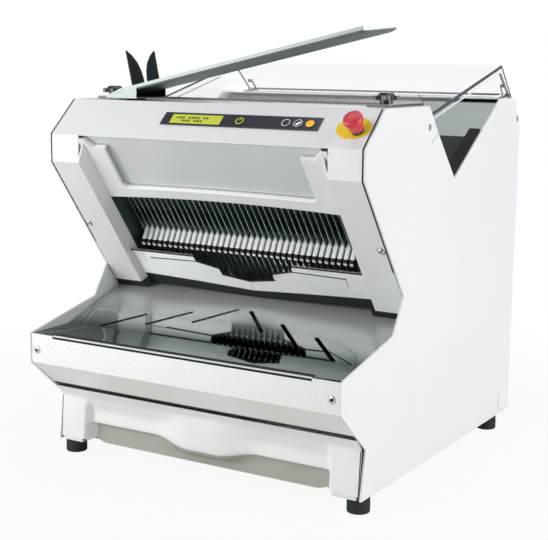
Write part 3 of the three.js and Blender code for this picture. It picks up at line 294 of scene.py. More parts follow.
def shade(colour: Triple, share: float) -> Triple:
    """A colour made darker or lighter by a share."""
    return tuple(min(1.0, part * share) for part in colour)


@dataclass(frozen=True)
class Finish:
    """What every finish has: a name, a colour and a gloss."""

    name: str
    colour: Triple
    roughness: float = 0.4

    def build(self) -> bpy.types.Material:
        """Makes the finish's material the first time.

        Returns:
            The material.
        """
        made = bpy.data.materials.get(self.name)
        if made is None:
            made = bpy.data.materials.new(self.name)
            self.mix(Recipe(made))
        return made

    def mix(self, recipe: Recipe) -> None:
        """Fills in the recipe of the finish's material."""
        raise NotImplementedError

    def mottled(self, recipe: Recipe, factor: Value, share: float) -> Value:
        """The colour, blended by a factor with a darker or lighter tone of itself."""
        return recipe.blend(factor, self.colour, shade(self.colour, share))

    def uneven(self, marks: Value, swing: float) -> Value:
        """The roughness, swung round its middle by noise."""
        return marks * swing + (self.roughness - swing / 2)


@dataclass(frozen=True)
class Paint(Finish):
    """Powder coat: an even colour with a fine orange-peel skin and a soft gloss."""

    peel: float = 0.02

    def mix(self, recipe: Recipe) -> None:
        """Fills in the recipe of the paint.

        Args:
            recipe: The material's nodes.
        """
        cloud = recipe.noise(scale=6.0)
        skin = recipe.noise(scale=900.0, detail=3.0)
        recipe.surface(
            Base_Color=self.mottled(recipe, cloud.step(low=0.3, high=0.7), share=0.985),
            Roughness=self.uneven(cloud, swing=0.08),
            Specular_IOR_Level=0.45,
            Coat_Weight=0.15,
            Coat_Roughness=0.2,
        )
        recipe.bump(skin, strength=0.25, distance=self.peel)


@dataclass(frozen=True)
class Moulding(Finish):
    """Moulded plastic: a fine spark-eroded grain, with handling marks in the gloss."""

    grain: float = 0.02
    coat: float = 0.0
    shine: float = 0.5

    def mix(self, recipe: Recipe) -> None:
        """Fills in the recipe of the plastic.

        Args:
            recipe: The material's nodes.
        """
        marks = recipe.noise(scale=14.0, detail=4.0)
        grain = recipe.noise(scale=1600.0)
        recipe.surface(
            Base_Color=self.mottled(recipe, marks.step(low=0.35, high=0.75), share=0.96),
            Roughness=self.uneven(marks, swing=0.12),
            Coat_Weight=self.coat,
            Coat_Roughness=0.12,
            Specular_IOR_Level=self.shine,
        )
        recipe.bump(grain, strength=0.3, distance=self.grain)


@dataclass(frozen=True)
class Rubber(Finish):
    """Dull rubber with a dusty bloom."""

    pores: float = 0.05

    def mix(self, recipe: Recipe) -> None:
        """Fills in the recipe of the rubber.

        Args:
            recipe: The material's nodes.
        """
        bloom = recipe.noise(scale=60.0, detail=4.0)
        recipe.surface(
            Base_Color=self.mottled(recipe, bloom.step(low=0.45, high=0.8), share=1.5),
            Roughness=self.roughness,
            Specular_IOR_Level=0.35,
        )
        recipe.bump(recipe.noise(scale=700.0), strength=0.3, distance=self.pores)


class Grain(Enum):
    """The way that a metal's grain runs, as the stretch of its noise."""

    ACROSS = (1.0, 60.0, 60.0)
    NONE = (1.0, 1.0, 1.0)


@dataclass(frozen=True)
class Metal(Finish):
    """Bare metal with a drawn or rolled grain."""

    grain: Grain = Grain.ACROSS
    depth: float = 0.006
    smear: float = 0.08
    metallic: float = 1.0

    def mix(self, recipe: Recipe) -> None:
        """Fills in the recipe of the metal.

        Args:
            recipe: The material's nodes.
        """
        lines = recipe.noise(scale=9.0, detail=6.0, stretch=self.grain.value)
        smears = recipe.noise(scale=5.0, detail=3.0)
        darker = shade(self.colour, share=0.94)
        recipe.surface(
            Base_Color=recipe.blend(lines.step(low=0.3, high=0.7), darker, self.colour),
            Metallic=self.metallic,
            Roughness=smears * self.smear + lines * self.smear + (self.roughness - self.smear),
        )
        recipe.bump(lines, strength=0.35, distance=self.depth)


@dataclass(frozen=True)
class TableSheet(Finish):
    """Stainless sheet of the catch table, whose top is polished.

    The front of the top is painted dark, a painted reflection of the dark outlet, and its rear is
    dull. The plate before it is ground, and the slope under the bend is satin.
    """

    plate: Triple = (0.96, 0.96, 0.955)
    slope: Triple = (0.99, 0.97, 0.91)
    front: float = -68.0
    front_soft: float = 1.5
    bend: float = 175.4
    bend_soft: float = 2.0
    sparkle_deep: float = 0.02
    painted_dark_reflection: Triple = (0.09, 0.125, 0.12)
    # Where the painted dark reflection and the dull rear begin and are full, back from the front
    painted_reflection_reach: Point = (140.0, 90.0)
    dull_reach: Point = (120.0, 200.0)
    # How much less metallic and how much rougher the plate and slope are, and the rear
    less_metal: Point = (0.65, 0.55)
    rougher: Point = (0.36, 0.22)

    def mix(self, recipe: Recipe) -> None:
        """Fills in the recipe of the sheet.

        Args:
            recipe: The material's nodes.
        """
        _, back, up = recipe.axes()
        edge = (self.front + SET_BACK) * MM
        plate = back.step(edge + self.front_soft * MM, edge)
        slope = up.step((self.bend + self.bend_soft) * MM, self.bend * MM)
        dull = plate.larger(slope)
        sparkle = recipe.noise(scale=420.0, detail=3.0)
        smears = recipe.noise(scale=7.0, detail=3.0)
        darker = shade(self.plate, share=0.86)
        ground = recipe.blend(sparkle.step(low=0.3, high=0.75), self.plate, darker)
        lighter = shade(self.slope, share=1.12)
        satin = recipe.blend(smears.step(low=0.35, high=0.65), self.slope, lighter)
        dark, far = (
            back.step(*(edge + place * MM for place in reach))
            for reach in (self.painted_reflection_reach, self.dull_reach)
        )
        # The front of the top gets the painted dark reflection
        top = recipe.blend(dark, self.colour, self.painted_dark_reflection)
        recipe.surface(
            Base_Color=recipe.blend(dull, top, recipe.blend(slope, ground, satin)),
            Metallic=1.0 - dull * self.less_metal[0] - far * self.less_metal[1],
            Roughness=dull * self.rougher[0] + far * self.rougher[1] + self.roughness,
        )
        recipe.bump(sparkle * dull, strength=0.25, distance=self.sparkle_deep)


@dataclass(frozen=True)
class Clear(Finish):
    """Clear plastic sheet: a faint tint that lets most of the light through."""

    cover: float = 0.2
    haze_cover: float = 0.03
    haze_rough: float = 0.04

    def mix(self, recipe: Recipe) -> None:
        """Fills in the recipe of the sheet.

        Args:
            recipe: The material's nodes.
        """
        haze = recipe.noise(scale=4.0)
        recipe.surface(
            Base_Color=self.colour,
            Roughness=haze * self.haze_rough + self.roughness,
            Alpha=haze * self.haze_cover + self.cover,
            Coat_Weight=1.0,
            Coat_Roughness=0.03,
        )


@dataclass(frozen=True)
class Glowing(Finish):
    """A mark or a window that shines a little."""

    glow: float = 0.4

    def mix(self, recipe: Recipe) -> None:
        """Fills in the recipe of the mark.

        Args:
            recipe: The material's nodes.
        """
        ink = recipe.noise(scale=900.0)
        recipe.surface(
            Base_Color=self.mottled(recipe, ink, share=0.9),
            Roughness=self.roughness,
            Emission_Color=self.colour,
            Emission_Strength=self.glow,
        )


WHITE = Paint("white_powder_coat", (0.87, 0.885, 0.89), 0.36)
PEARL = Moulding("pearl_moulding", (0.93, 0.925, 0.91), 0.34, 0.01, 0.4)
# The hood's recess and the line at the foot of its slope are painted darker as shade
PEARL_PAINTED_SHADE = Moulding("pearl_painted_shade", (0.70, 0.735, 0.70), 0.34, 0.01, 0.4)
PEARL_SHADOW_LINE = Moulding("pearl_shadow_line", (0.42, 0.45, 0.43), 0.4, 0.01)
MOULDED_WHITE = Moulding("white_moulding", (0.93, 0.93, 0.92), 0.38, 0.015, 0.2)
FINGER_WHITE = Moulding("finger_white", (0.95, 0.95, 0.94), 0.4, 0.01)
BLACK = Moulding("black_moulding", (0.010, 0.015, 0.017), 0.5, 0.03, shine=0.2)
# A lighter green-grey copy of the black moulding for its cheeks, painted light
CHEEK_PAINTED_LIGHT = Moulding("cheek_painted_light", (0.055, 0.075, 0.075), 0.32, 0.01, 0.3)
# Painted shade for the drawer's recess under its ledge
RECESS_SHADE = Moulding("recess_painted_shade", (0.42, 0.425, 0.37), 0.42, 0.015)
KNOB = Moulding("knob_moulding", (0.018, 0.022, 0.025), 0.26, 0.0, 0.6)
CHARCOAL = Moulding("charcoal_moulding", (0.05, 0.06, 0.065), 0.45, 0.03)
STRIP = Moulding("key_strip", (0.018, 0.022, 0.03), 0.28, 0.01, 0.5)
RED = Moulding("stop_red", (0.72, 0.035, 0.06), 0.3, 0.01, 0.5)
YELLOW = Moulding("stop_yellow", (0.93, 0.68, 0.01), 0.42, 0.02)
DISPLAY = Glowing("display_window", (0.56, 0.62, 0.06), 0.25, 0.2)
DISPLAY_MARK = Moulding("display_mark", (0.05, 0.07, 0.02), 0.4)
MARK_GREEN = Glowing("mark_green", (0.6, 0.8, 0.05), 0.4)
MARK_WHITE = Glowing("mark_white", (0.85, 0.87, 0.9), 0.4)
MARK_AMBER = Glowing("mark_amber", (0.95, 0.45, 0.03), 0.4)
RUBBER = Rubber("foot_rubber", (0.022, 0.028, 0.026), 0.75)
MAT = Rubber("mat_rubber", (0.03, 0.034, 0.035), 0.55)
# The front of the catch table's top is painted dark as a reflection of the outlet
TABLE = TableSheet("table_sheet", (0.56, 0.59, 0.57), 0.035)
STAINLESS = Metal("stainless_sheet", (0.76, 0.76, 0.75), 0.24)
SATIN = Metal("satin_sheet", (0.98, 0.98, 0.99), 0.3, Grain.NONE, 0.0, 0.04, 0.5)
# The trough's sheet is painted dark as a reflection of dark surroundings
TROUGH_PAINTED_REFLECTION = Metal("trough_painted_reflection", (0.25, 0.28, 0.265), 0.38, Grain.NONE, 0.0)
FLOOR_SHEET = Metal("floor_sheet", (0.36, 0.40, 0.38), 0.3)
# The knives are painted dark as shade, and the ground band of their edges lighter as a painted highlight
BLADE_SHADED_STEEL = Metal("knife_steel_painted_shade", (0.22, 0.29, 0.28), 0.42, Grain.NONE, 0.002)
GROUND_HIGHLIGHT_STEEL = Metal("ground_painted_highlight", (0.55, 0.66, 0.64), 0.4, Grain.NONE, 0.0)
STEEL = Metal("plain_steel", (0.5, 0.52, 0.52), 0.38)
SCREW_STEEL = Metal("screw_steel", (0.72, 0.72, 0.72), 0.22, Grain.NONE)
CAST = Metal("cast_metal", (0.6, 0.61, 0.62), 0.5, Grain.NONE, 0.03)
MOTOR_PAINT = Paint("motor_paint", (0.06, 0.07, 0.08), 0.5)
CLEAR = Clear("clear_acrylic", (0.90, 0.89, 0.95), 0.06, 0.05)
# The clear sheets' edges are painted dark and nearly opaque as shade
CLEAR_EDGE_SHADE = Clear("clear_edge_painted_shade", (0.03, 0.04, 0.05), 0.3, 0.9)


# Meshes


def narrower(than: float) -> FaceTest:
    """A test for faces whose mean width is under a length."""
    return lambda face: 2 * face.calc_area() < than * face.calc_perimeter()


def eased_share(value: float, low: float, high: float) -> float:
    """Share of the way from low to high, with a soft start and a soft end."""
    share = min(1.0, max(0.0, (value - low) / (high - low)))
    return share * share * (3.0 - 2.0 * share)


def beside(line: Sequence[Point], off: float) -> list[Point]:
    """A line of the side view, moved square to itself with mitred corners.

    Args:
        line: Its corners.
        off: The distance, which is forwards where the line runs down.

    Returns:
        The moved corners.
    """
    points = [Vector(point) for point in line]
    ways = [(after - before).normalized() for before, after in zip(points, points[1:])]
    moved = []
    for index, point in enumerate(points):
        before, after = ways[max(0, index - 1)], ways[min(index, len(ways) - 1)]
        squares = Vector((before.y + after.y, -before.x - after.x))
        moved.append(tuple(point + squares * (off / (1 + before.dot(after)))))
    return moved


class Shape:
    """A mesh in the making, in millimetres."""

    def __init__(self) -> None:
        """Starts with nothing in it."""
        self.mesh = bmesh.new()

    def moved(self, verts: Iterable[Vert], place: Matrix) -> None:
        """Carries new corners from their local frame to the machine."""
        bmesh.ops.transform(self.mesh, matrix=place, verts=list(verts))

    def _raised(self, faces: Iterable[Face], by: Triple) -> list[Vert]:
        """Extrudes faces.

        Args:
            faces: The faces of an open sheet.
            by: The way and distance of the extrusion.

        Returns:
            The new corners.
        """
        grown = bmesh.ops.extrude_face_region(self.mesh, geom=list(faces))["geom"]
        raised = [part for part in grown if isinstance(part, Vert)]
        bmesh.ops.translate(self.mesh, vec=by, verts=raised)
        return raised

    def prism(self, outline: Sequence[Point], low: float, high: float, place: Matrix) -> Shape:
        """Extrudes an outline.

        Args:
            outline: Corners in the local first and second axes.
            low: Where it starts on the local third axis.
            high: Where it ends.
            place: The local frame.

        Returns:
            This shape.
        """
        corners = [self.mesh.verts.new((first, second, low)) for first, second in outline]
        raised = self._raised([self.mesh.faces.new(corners)], (0.0, 0.0, high - low))
        self.moved([*corners, *raised], place)
        return self

    def disc(self, radii: Point, low: float, high: float, place: Matrix, sides: int) -> Shape:
        """Adds a round bar or cone on the local third axis.

        Args:
            radii: Radius at the low and at the high end.
            low: Where it starts.
            high: Where it ends.
            place: The local frame.
            sides: Sides of the round.

        Returns:
            This shape.
        """
        made = bmesh.ops.create_cone(
            self.mesh, cap_ends=True, segments=sides,
            radius1=radii[0], radius2=radii[1], depth=high - low,
        )["verts"]
        self.moved(made, place @ Matrix.Translation((0.0, 0.0, (low + high) / 2)))
        return self

    def _spun(self, line: Sequence[Triple], angle: float, sides: int) -> list[Vert]:
        """Spins a line about the local third axis.

        Args:
            line: Its corners.
            angle: The angle of the spin, in radians.
            sides: Sides of the round.

        Returns:
            All the corners of the spun sheet.
        """
        corners = [self.mesh.verts.new(spot) for spot in line]
        edges = [self.mesh.edges.new(pair) for pair in zip(corners, corners[1:])]
        bmesh.ops.spin(
            self.mesh, geom=[*corners, *edges], axis=(0.0, 0.0, 1.0), cent=(0.0, 0.0, 0.0),
            angle=angle, steps=sides, use_merge=angle == 2 * math.pi,
        )
        return self._linked(corners)

    def turned(self, profile: Sequence[Point], place: Matrix, sides: int = 40) -> Shape:
        """Turns a profile about the local third axis.

        Args:
            profile: Its corners, as (radius, height).
            place: The local frame.
            sides: Sides of the round.

        Returns:
            This shape.
        """
        line = [(radius, 0.0, up) for radius, up in profile]
        self.moved(self._spun(line, 2 * math.pi, sides), place)
        return self

    def ring(
        self, radius: float, wide: float, place: Matrix, gap: float = 0.0, sides: int = 32
    ) -> Shape:
        """Adds a flat printed ring, or an arc of one.

        Args:
            radius: Its outer radius.
            wide: Its width.
            place: The local frame.
            gap: The angle left open round the local second axis, in radians.
            sides: Sides of the round.

        Returns:
            This shape.
        """
        start = math.pi / 2 + gap / 2
        line = [
            (reach * math.cos(start), reach * math.sin(start), 0.0)
            for reach in (radius - wide, radius)
        ]
        flat = self._spun(line, 2 * math.pi - gap, sides)
        self.moved(self.thickened(flat, (0.0, 0.0, PRINT)), place)
        return self

    def _linked(self, seeds: Sequence[Vert]) -> list[Vert]:
        """Finds the corners of a connected mesh.

        Args:
            seeds: Some of its corners.

        Returns:
            Every corner that edges join to the seeds.
        """
        found = dict.fromkeys(seeds)
        waiting = list(seeds)
        while waiting:
            vert = waiting.pop()
            others = (edge.other_vert(vert) for edge in vert.link_edges)
            fresh = [other for other in others if other not in found]
            found.update(dict.fromkeys(fresh))
            waiting.extend(fresh)
        return list(found)

    def block(self, size: Sequence[float], place: Matrix) -> Shape:
        """Adds a box.

        Args:
            size: Its size on the three local axes.
            place: The local frame, at the box's middle.

        Returns:
            This shape.
        """
        made = bmesh.ops.create_cube(self.mesh, size=1.0)["verts"]
        self.moved(made, place @ Matrix.Diagonal((*size, 1.0)))
        return self

    def copied(self, node: bpy.types.Object) -> Shape:
        """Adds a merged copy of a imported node, in millimetres.

        Args:
            node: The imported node.

        Returns:
            This shape.
        """
        self.mesh.from_mesh(node.data)
        bmesh.ops.remove_doubles(self.mesh, verts=self.mesh.verts, dist=MERGE * MM)
        bmesh.ops.dissolve_limit(
            self.mesh, angle_limit=math.radians(FLAT), verts=self.mesh.verts, edges=self.mesh.edges
        )
        bmesh.ops.scale(self.mesh, vec=(1 / MM,) * 3, verts=self.mesh.verts)
        bmesh.ops.translate(self.mesh, vec=(0.0, -SET_BACK, 0.0), verts=self.mesh.verts)
        return self

    def eased(self, width: float, segments: int = 2) -> Shape:
        """Rounds the sharp edges.

        Args:
            width: How far the round reaches from the edge.
            segments: Steps in the round.

        Returns:
            This shape.
        """
        limit = math.radians(SHARP)
        edges = [
            edge for edge in self.mesh.edges
            if len(edge.link_faces) == 2 and edge.calc_face_angle(0.0) > limit
        ]
        bmesh.ops.bevel(
            self.mesh, geom=edges, offset=width, segments=segments, profile=0.5,
            affect="EDGES", clamp_overlap=True, material=-1,
        )
        return self

    def sheet(self, cells: tuple[int, int]) -> list[Vert]:
        """Adds a flat grid of cells from -1 to 1 both ways, and hands back its corners."""
        made = bmesh.ops.create_grid(self.mesh, x_segments=cells[0], y_segments=cells[1], size=1.0)
        return made["verts"]

    def thickened(self, flat: Sequence[Vert], by: Triple) -> list[Vert]:
        """Makes an open sheet solid.

        Args:
            flat: The corners of the sheet.
            by: The way and thickness of the wall, in the sheet's own frame.

        Returns:
            All the corners of the solid.
        """
        faces = dict.fromkeys(face for vert in flat for face in vert.link_faces)
        return [*flat, *self._raised(faces, by)]

    def ribbon(self, line: Sequence[Point], reach: Point, across: Sequence[float]) -> Shape:
        """Adds a sheet that follows a line of the side view.

        Args:
            line: Its corners, as (back, up).
            reach: Where the sheet starts and ends, square to the line and forwards.
            across: Where it starts and ends across the machine.

        Returns:
            This shape.
        """
        near, far = (beside(line, off) for off in reach)
        return self.prism([*near, *reversed(far)], *across, EDGEWISE)

    def ribbons(self, line: Sequence[Point], reach: Point, across: Point) -> Shape:
        """Adds a ribbon at the right side and its mirror image at the left.

        Args:
            line: The corners of the line that both follow, as (back, up).
            reach: Where each starts and ends, square to the line and forwards.
            across: Where the right one starts and ends across the machine.

        Returns:
            This shape.
        """
        for _, sign in SIDES:
            self.ribbon(line, reach, sorted(sign * edge for edge in across))
        return self

    def marked(self, chosen: FaceTest) -> Shape:
        """Gives the chosen faces the second finish.

        Args:
            chosen: Says whether a face is meant.

        Returns:
            This shape.
        """
        for face in self.mesh.faces:
            if chosen(face):
                face.material_index = 1
        return self

    def closed(self) -> Shape:
        """Merges doubles and turns every face outwards.

        Returns:
            This shape.
        """
        bmesh.ops.remove_doubles(self.mesh, verts=self.mesh.verts, dist=MERGE)
        bmesh.ops.recalc_face_normals(self.mesh, faces=self.mesh.faces)
        return self


@dataclass
class Workshop:
    """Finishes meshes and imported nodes, and puts them on their bodies."""

    frame: dict[str, Any]
    made: list[str] = field(default_factory=list)
    body_of: dict[str, str] = field(default_factory=dict)
    slot_of: dict[str, str] = field(default_factory=dict)

    def __post_init__(self) -> None:
        """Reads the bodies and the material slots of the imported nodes."""
        record = self.frame["record"]
        for body, nodes in record["behaviour"]["bodies"].items():
            self.body_of.update({node: body for node in nodes})
        self.slot_of = {row["node"]: row["material_slot"] for row in record["subparts"]}

    def node(self, name: str) -> bpy.types.Object:
        """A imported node's object."""
        return self.frame["nodes"][name]

    def dress(self, finish: Finish, *names: str) -> None:
        """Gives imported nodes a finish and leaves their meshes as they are.

        Args:
            finish: The finish.
            names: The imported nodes.
        """
        for name in names:
            materials = self.node(name).data.materials
            materials.clear()
            materials.append(finish.build())
            LOG.info("dressed %s", name)

    def add(
        self,
        name: str,
        shape: Shape,
        finish: Finish | Sequence[Finish],
        body: str,
        slot: str,
        replaces: Sequence[str] = (),
        smooth: float = SMOOTH,
    ) -> None:
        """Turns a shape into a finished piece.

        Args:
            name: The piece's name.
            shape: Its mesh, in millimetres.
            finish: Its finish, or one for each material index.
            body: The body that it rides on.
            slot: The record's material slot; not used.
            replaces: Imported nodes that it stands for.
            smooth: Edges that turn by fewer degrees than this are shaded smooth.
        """
        bmesh.ops.translate(shape.mesh, vec=(0.0, SET_BACK, 0.0), verts=shape.mesh.verts)
        bmesh.ops.scale(shape.mesh, vec=(MM,) * 3, verts=shape.mesh.verts)
        data = bpy.data.meshes.new(name)
        shape.mesh.to_mesh(data)
        shape.mesh.free()
        data.shade_smooth()
        data.set_sharp_from_angle(angle=math.radians(smooth))
        made = bpy.data.objects.new(name, data)
        bpy.context.scene.collection.objects.link(made)
        for coat in [finish] if isinstance(finish, Finish) else finish:
            data.materials.append(coat.build())
        weighted = made.modifiers.new("weighted", "WEIGHTED_NORMAL")
        weighted.keep_sharp = True
        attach(made, body)
        if replaces:
            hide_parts(*replaces)
        self.made.append(name)
        LOG.info("made %s", name)

    def soften(
        self,
        finish: Finish | Sequence[Finish],
        width: float,
        *names: str,
        segments: int = 2,
        smooth: float = SMOOTH,
        chosen: FaceTest | None = None,
    ) -> None:
        """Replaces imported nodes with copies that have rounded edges.

        Args:
            finish: The finish of each.
            width: Reach of the round, in millimetres.
            names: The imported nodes.
            segments: Steps in the round.
            smooth: Edges that turn by fewer degrees are shaded smooth.
            chosen: Says which faces have the second finish.
        """
        for name in names:
            shape = Shape().copied(self.node(name))
            if chosen:
                shape.marked(chosen)
            if width:
                shape.eased(width, segments)
            body, slot = self.body_of[name], self.slot_of[name]
            self.add(f"{name}_soft", shape, finish, body, slot, [name], smooth)


@dataclass(frozen=True)
class Screw:
    """A domed screw with a round socket, on a washer."""

    head: float = 5.2
    # Share of the rise that is upright, the shoulder as a share of the head's radius and a
    # depth under its top, and the share of the head's radius that is flat
    upright: float = 0.35
    shoulder: Point = (0.85, 0.5)
    flat: float = 0.6
    head_sides: int = 24
    washer: float = 7.0
    washer_wall: float = 0.8
    washer_slant: float = 0.3
    washer_sides: int = 28
    rise: float = 2.4
    socket: float = 2.6
    socket_deep: float = 1.6

    def _add_to(self, shape: Shape, place: Matrix) -> None:
        """Adds one screw, standing on the local first and second axes.

        Args:
            shape: The shape that it joins.
            place: The local frame.
        """
        radii = (self.washer, self.washer - self.washer_slant)
        shape.disc(radii, 0.0, self.washer_wall, place, self.washer_sides)
        top = self.washer_wall + self.rise
        deep = top - self.socket_deep
        share, drop = self.shoulder
        profile = [
            (0.0, self.washer_wall), (self.head, self.washer_wall),
            (self.head, self.washer_wall + self.rise * self.upright),
            (self.head * share, top - drop), (self.head * self.flat, top),
            (self.socket, top), (self.socket, deep), (0.0, deep),
        ]
        shape.turned(profile, place, self.head_sides)

    def fit(self, shop: Workshop, name: str, places: Iterable[Matrix]) -> None:
        """Makes one piece of several screws.

        Args:
            shop: The workshop that finishes the piece.
            name: The piece's name.
            places: The local frame of each screw.
        """
        shape = Shape()
        for place in places:
            self._add_to(shape, place)
        shop.add(name, shape.closed(), SCREW_STEEL, "housing", "steel")


# The machine's own sub-assemblies


@dataclass
class Assembly:
    """A sub-assembly and the workshop that finishes its pieces."""

    shop: Workshop

    def build(self) -> None:
        """Builds and dresses the pieces."""
        raise NotImplementedError


@dataclass
class Cabinet(Assembly):
    """Side panels, rear panel, chassis, base pan, feet and the screws that hold them."""

    half: float = 293.4
    ease: float = 0.8
    pan_ease: float = 0.5
    screw: Screw = Screw(
        head=4.2, washer=5.4, washer_wall=0.3, rise=1.0, socket=2.0, socket_deep=0.7
    )
    screws: Outline = ((207.0, 573.6), (593.8, 573.8))
    slit: tuple[Point, Point] = ((214.4, 547.1), (241.3, 563.7))
    slit_wide: float = 0.8
    foot: Outline = (
        (0.0, 0.0), (15.5, 0.0), (17.2, 0.6), (18.0, 2.2), (18.0, 17.5), (17.2, 18.4),
        (17.2, 20.4), (18.0, 21.2), (18.0, 24.7), (0.0, 24.7),
    )
    foot_half: float = 276.0
    foot_rows: tuple[tuple[str, float], ...] = (("front", 26.0), ("rear", 545.0))

    def build(self) -> None:
        """Builds and dresses the cabinet."""
        shop = self.shop
        shop.soften(WHITE, self.ease, "panel_left", "panel_right", "rear_panel")
        shop.soften(WHITE, self.pan_ease, "base_pan")
        shop.soften(MOULDED_WHITE, self.ease, "side_cap_left", "side_cap_right")
        shop.dress(STEEL, "chassis_left", "chassis_right")
        shop.dress(CHARCOAL, "electrics_box")
        shop.dress(BLACK, "power_inlet")
        self._feet()
        places = [
            self._outside(sign, back, up) @ Matrix.Rotation(sign * math.pi / 2, 4, "Y")
            for _, sign in SIDES
            for back, up in self.screws
        ]
        self.screw.fit(shop, "panel_screws", places)
        self._slits()

    def _outside(self, sign: int, back: float, up: float) -> Matrix:
        """A place on a panel's outer face."""
        return Matrix.Translation((sign * self.half, back, up))

    def _slits(self) -> None:
        """Marks a dark slit on the outer face of each panel."""
        (back, up), (far, high) = self.slit
        long = math.hypot(far - back, high - up)
        lean = Matrix.Rotation(math.atan2(high - up, far - back), 4, "X")
        slits = Shape()
        for _, sign in SIDES:
            middle = self._outside(sign, (back + far) / 2, (up + high) / 2)
            slits.block((PRINT, long, self.slit_wide), middle @ lean)
        self.shop.add("panel_slits", slits.closed(), BLACK, "housing", "white_paint")

    def _feet(self) -> None:
        """Turns four rubber feet with a groove below the base."""
        for side, sign in SIDES:
            for row, back in self.foot_rows:
                node = f"foot_{row}_{side}"
                place = Matrix.Translation((sign * self.foot_half, back, 0.0))
                shape = Shape().turned(self.foot, place).closed()
                self.shop.add(f"{node}_turned", shape, RUBBER, "housing", "rubber", [node])


@dataclass
class Front(Assembly):
    """Fascia, hood, control strip with its marks, and the emergency stop."""

    fascia_ease: float = 1.1
    fascia_screws: Point = (280.4, 139.0)
    seal: Point = (287.6, 289.8)
    seal_reach: Point = (-1.0, 0.35)
    seal_line: Outline = ((49.0, 606.0), (-10.4, 550.7), (-10.4, 504.9), (100.0, 358.4))
    key_ease: float = 0.25
    key_up: float = 44.0
    key_top: float = 2.8
    power: float = 61.2
    run: float = 143.1
    pause: float = 164.1
    stop: float = 184.7
    # Outer radius and width of the printed rings
    power_ring: Point = (6.8, 1.1)
    run_ring: Point = (7.0, 0.8)
    pause_ring: Point = (7.4, 0.7)
    plate_ring: Point = (4.2, 1.1)
    power_gap: float = 0.9
    power_bar: Point = (1.1, 6.4)
    power_bar_up: float = 4.4
    pause_leaf: Outline = (
        (-4.0, -2.5), (-1.0, -4.5), (3.5, -1.0), (4.5, 3.5), (1.5, 2.5), (-1.5, 0.0),
    )
    stop_radius: float = 6.8
    stop_sides: int = 30
    cell: Point = (3.6, 4.2)
    cell_pitch: Point = (5.6, 6.4)
    # Cells in each row of the display and the place of the first, with two left open
    cell_rows: tuple[tuple[int, float], ...] = ((11, -56.0), (7, -44.0))
    cells_open: tuple[int, int] = (3, 8)
    cell_up: float = 47.2
    cell_off: float = 1.55
    plate_ease: float = 0.3
    plate_middle: Point = (246.6, 26.0)
    plate_top: float = 1.8
    head_middle: Point = (268.0, 33.5)
    head_sides: int = 64
    head: Outline = (
        (0.0, 32.0), (6.6, 31.9), (6.9, 31.3), (8.0, 31.3), (8.4, 31.8), (11.6, 31.2), (13.9, 29.7),
        (15.0, 27.2), (15.0, 22.6), (13.9, 20.2), (12.0, 17.0), (10.9, 12.5), (10.8, 8.2), (0.0, 8.2),
    )

    def build(self) -> None:
        """Builds and dresses the front."""
        shop = self.shop
        shop.soften(WHITE, self.fascia_ease, "fascia", segments=3)
        Hood(shop).build()
        keys = (f"key_{name}" for name in ("power", "run", "pause", "stop"))
        shop.soften(STRIP, self.key_ease, "control_strip", *keys)
        shop.dress(DISPLAY, "display")
        shop.soften(YELLOW, self.plate_ease, "estop_plate")
        shop.dress(CHARCOAL, "estop_body")
        head = Shape().turned(self.head, FACE.place(*self.head_middle), self.head_sides).closed()
        shop.add("stop_head_turned", head, RED, "stop_head", "red_plastic", ["estop_button"])
        self._signs()
        self._cells()
        across, along = self.fascia_screws
        places = [SLOPE.place(sign * across, along) @ OUTWARD for _, sign in SIDES]
        Screw().fit(shop, "fascia_screws", places)
        seals = Shape().ribbons(self.seal_line, self.seal_reach, self.seal).closed()
        shop.add("fascia_seals", seals, BLACK, "housing", "rubber")

    def _signs(self) -> None:
        """Prints a plain sign on each key, and a ring on the plate of the emergency stop."""
        on_power, on_run, on_pause, on_stop = (
            FACE.place(across, self.key_up, self.key_top)
            for across in (self.power, self.run, self.pause, self.stop)
        )
        power = Shape().ring(*self.power_ring, on_power, self.power_gap)
        bar = Matrix.Translation((0.0, self.power_bar_up, PRINT / 2))
        power.block((*self.power_bar, PRINT), on_power @ bar)
        run = Shape().ring(*self.run_ring, on_run)
        pause = Shape().ring(*self.pause_ring, on_pause)
        pause.prism(self.pause_leaf, 0.0, PRINT, on_pause)
        stop = Shape().disc((self.stop_radius,) * 2, 0.0, PRINT, on_stop, self.stop_sides)
        for key, shape, finish in (
            ("power", power, MARK_GREEN),
            ("run", run, MARK_WHITE),
            ("pause", pause, MARK_WHITE),
            ("stop", stop, MARK_AMBER),
        ):
            self.shop.add(f"{key}_mark", shape, finish, f"{key}_key", "keypad")
        plate = Shape().ring(*self.plate_ring, FACE.place(*self.plate_middle, self.plate_top))
        self.shop.add("plate_ring", plate, MARK_AMBER, "housing", "yellow_plastic")

    def _cells(self) -> None:
        """Fills the display's two rows with plain cells."""
        cells = Shape()
        across, down = self.cell_pitch
        for row, (count, first) in enumerate(self.cell_rows):
            for index in range(count):
                if index not in self.cells_open:
                    spot = (first + index * across, self.cell_up - row * down, self.cell_off)
                    cells.block((*self.cell, PRINT), FACE.place(*spot))
        self.shop.add("display_cells", cells, DISPLAY_MARK, "housing", "display")


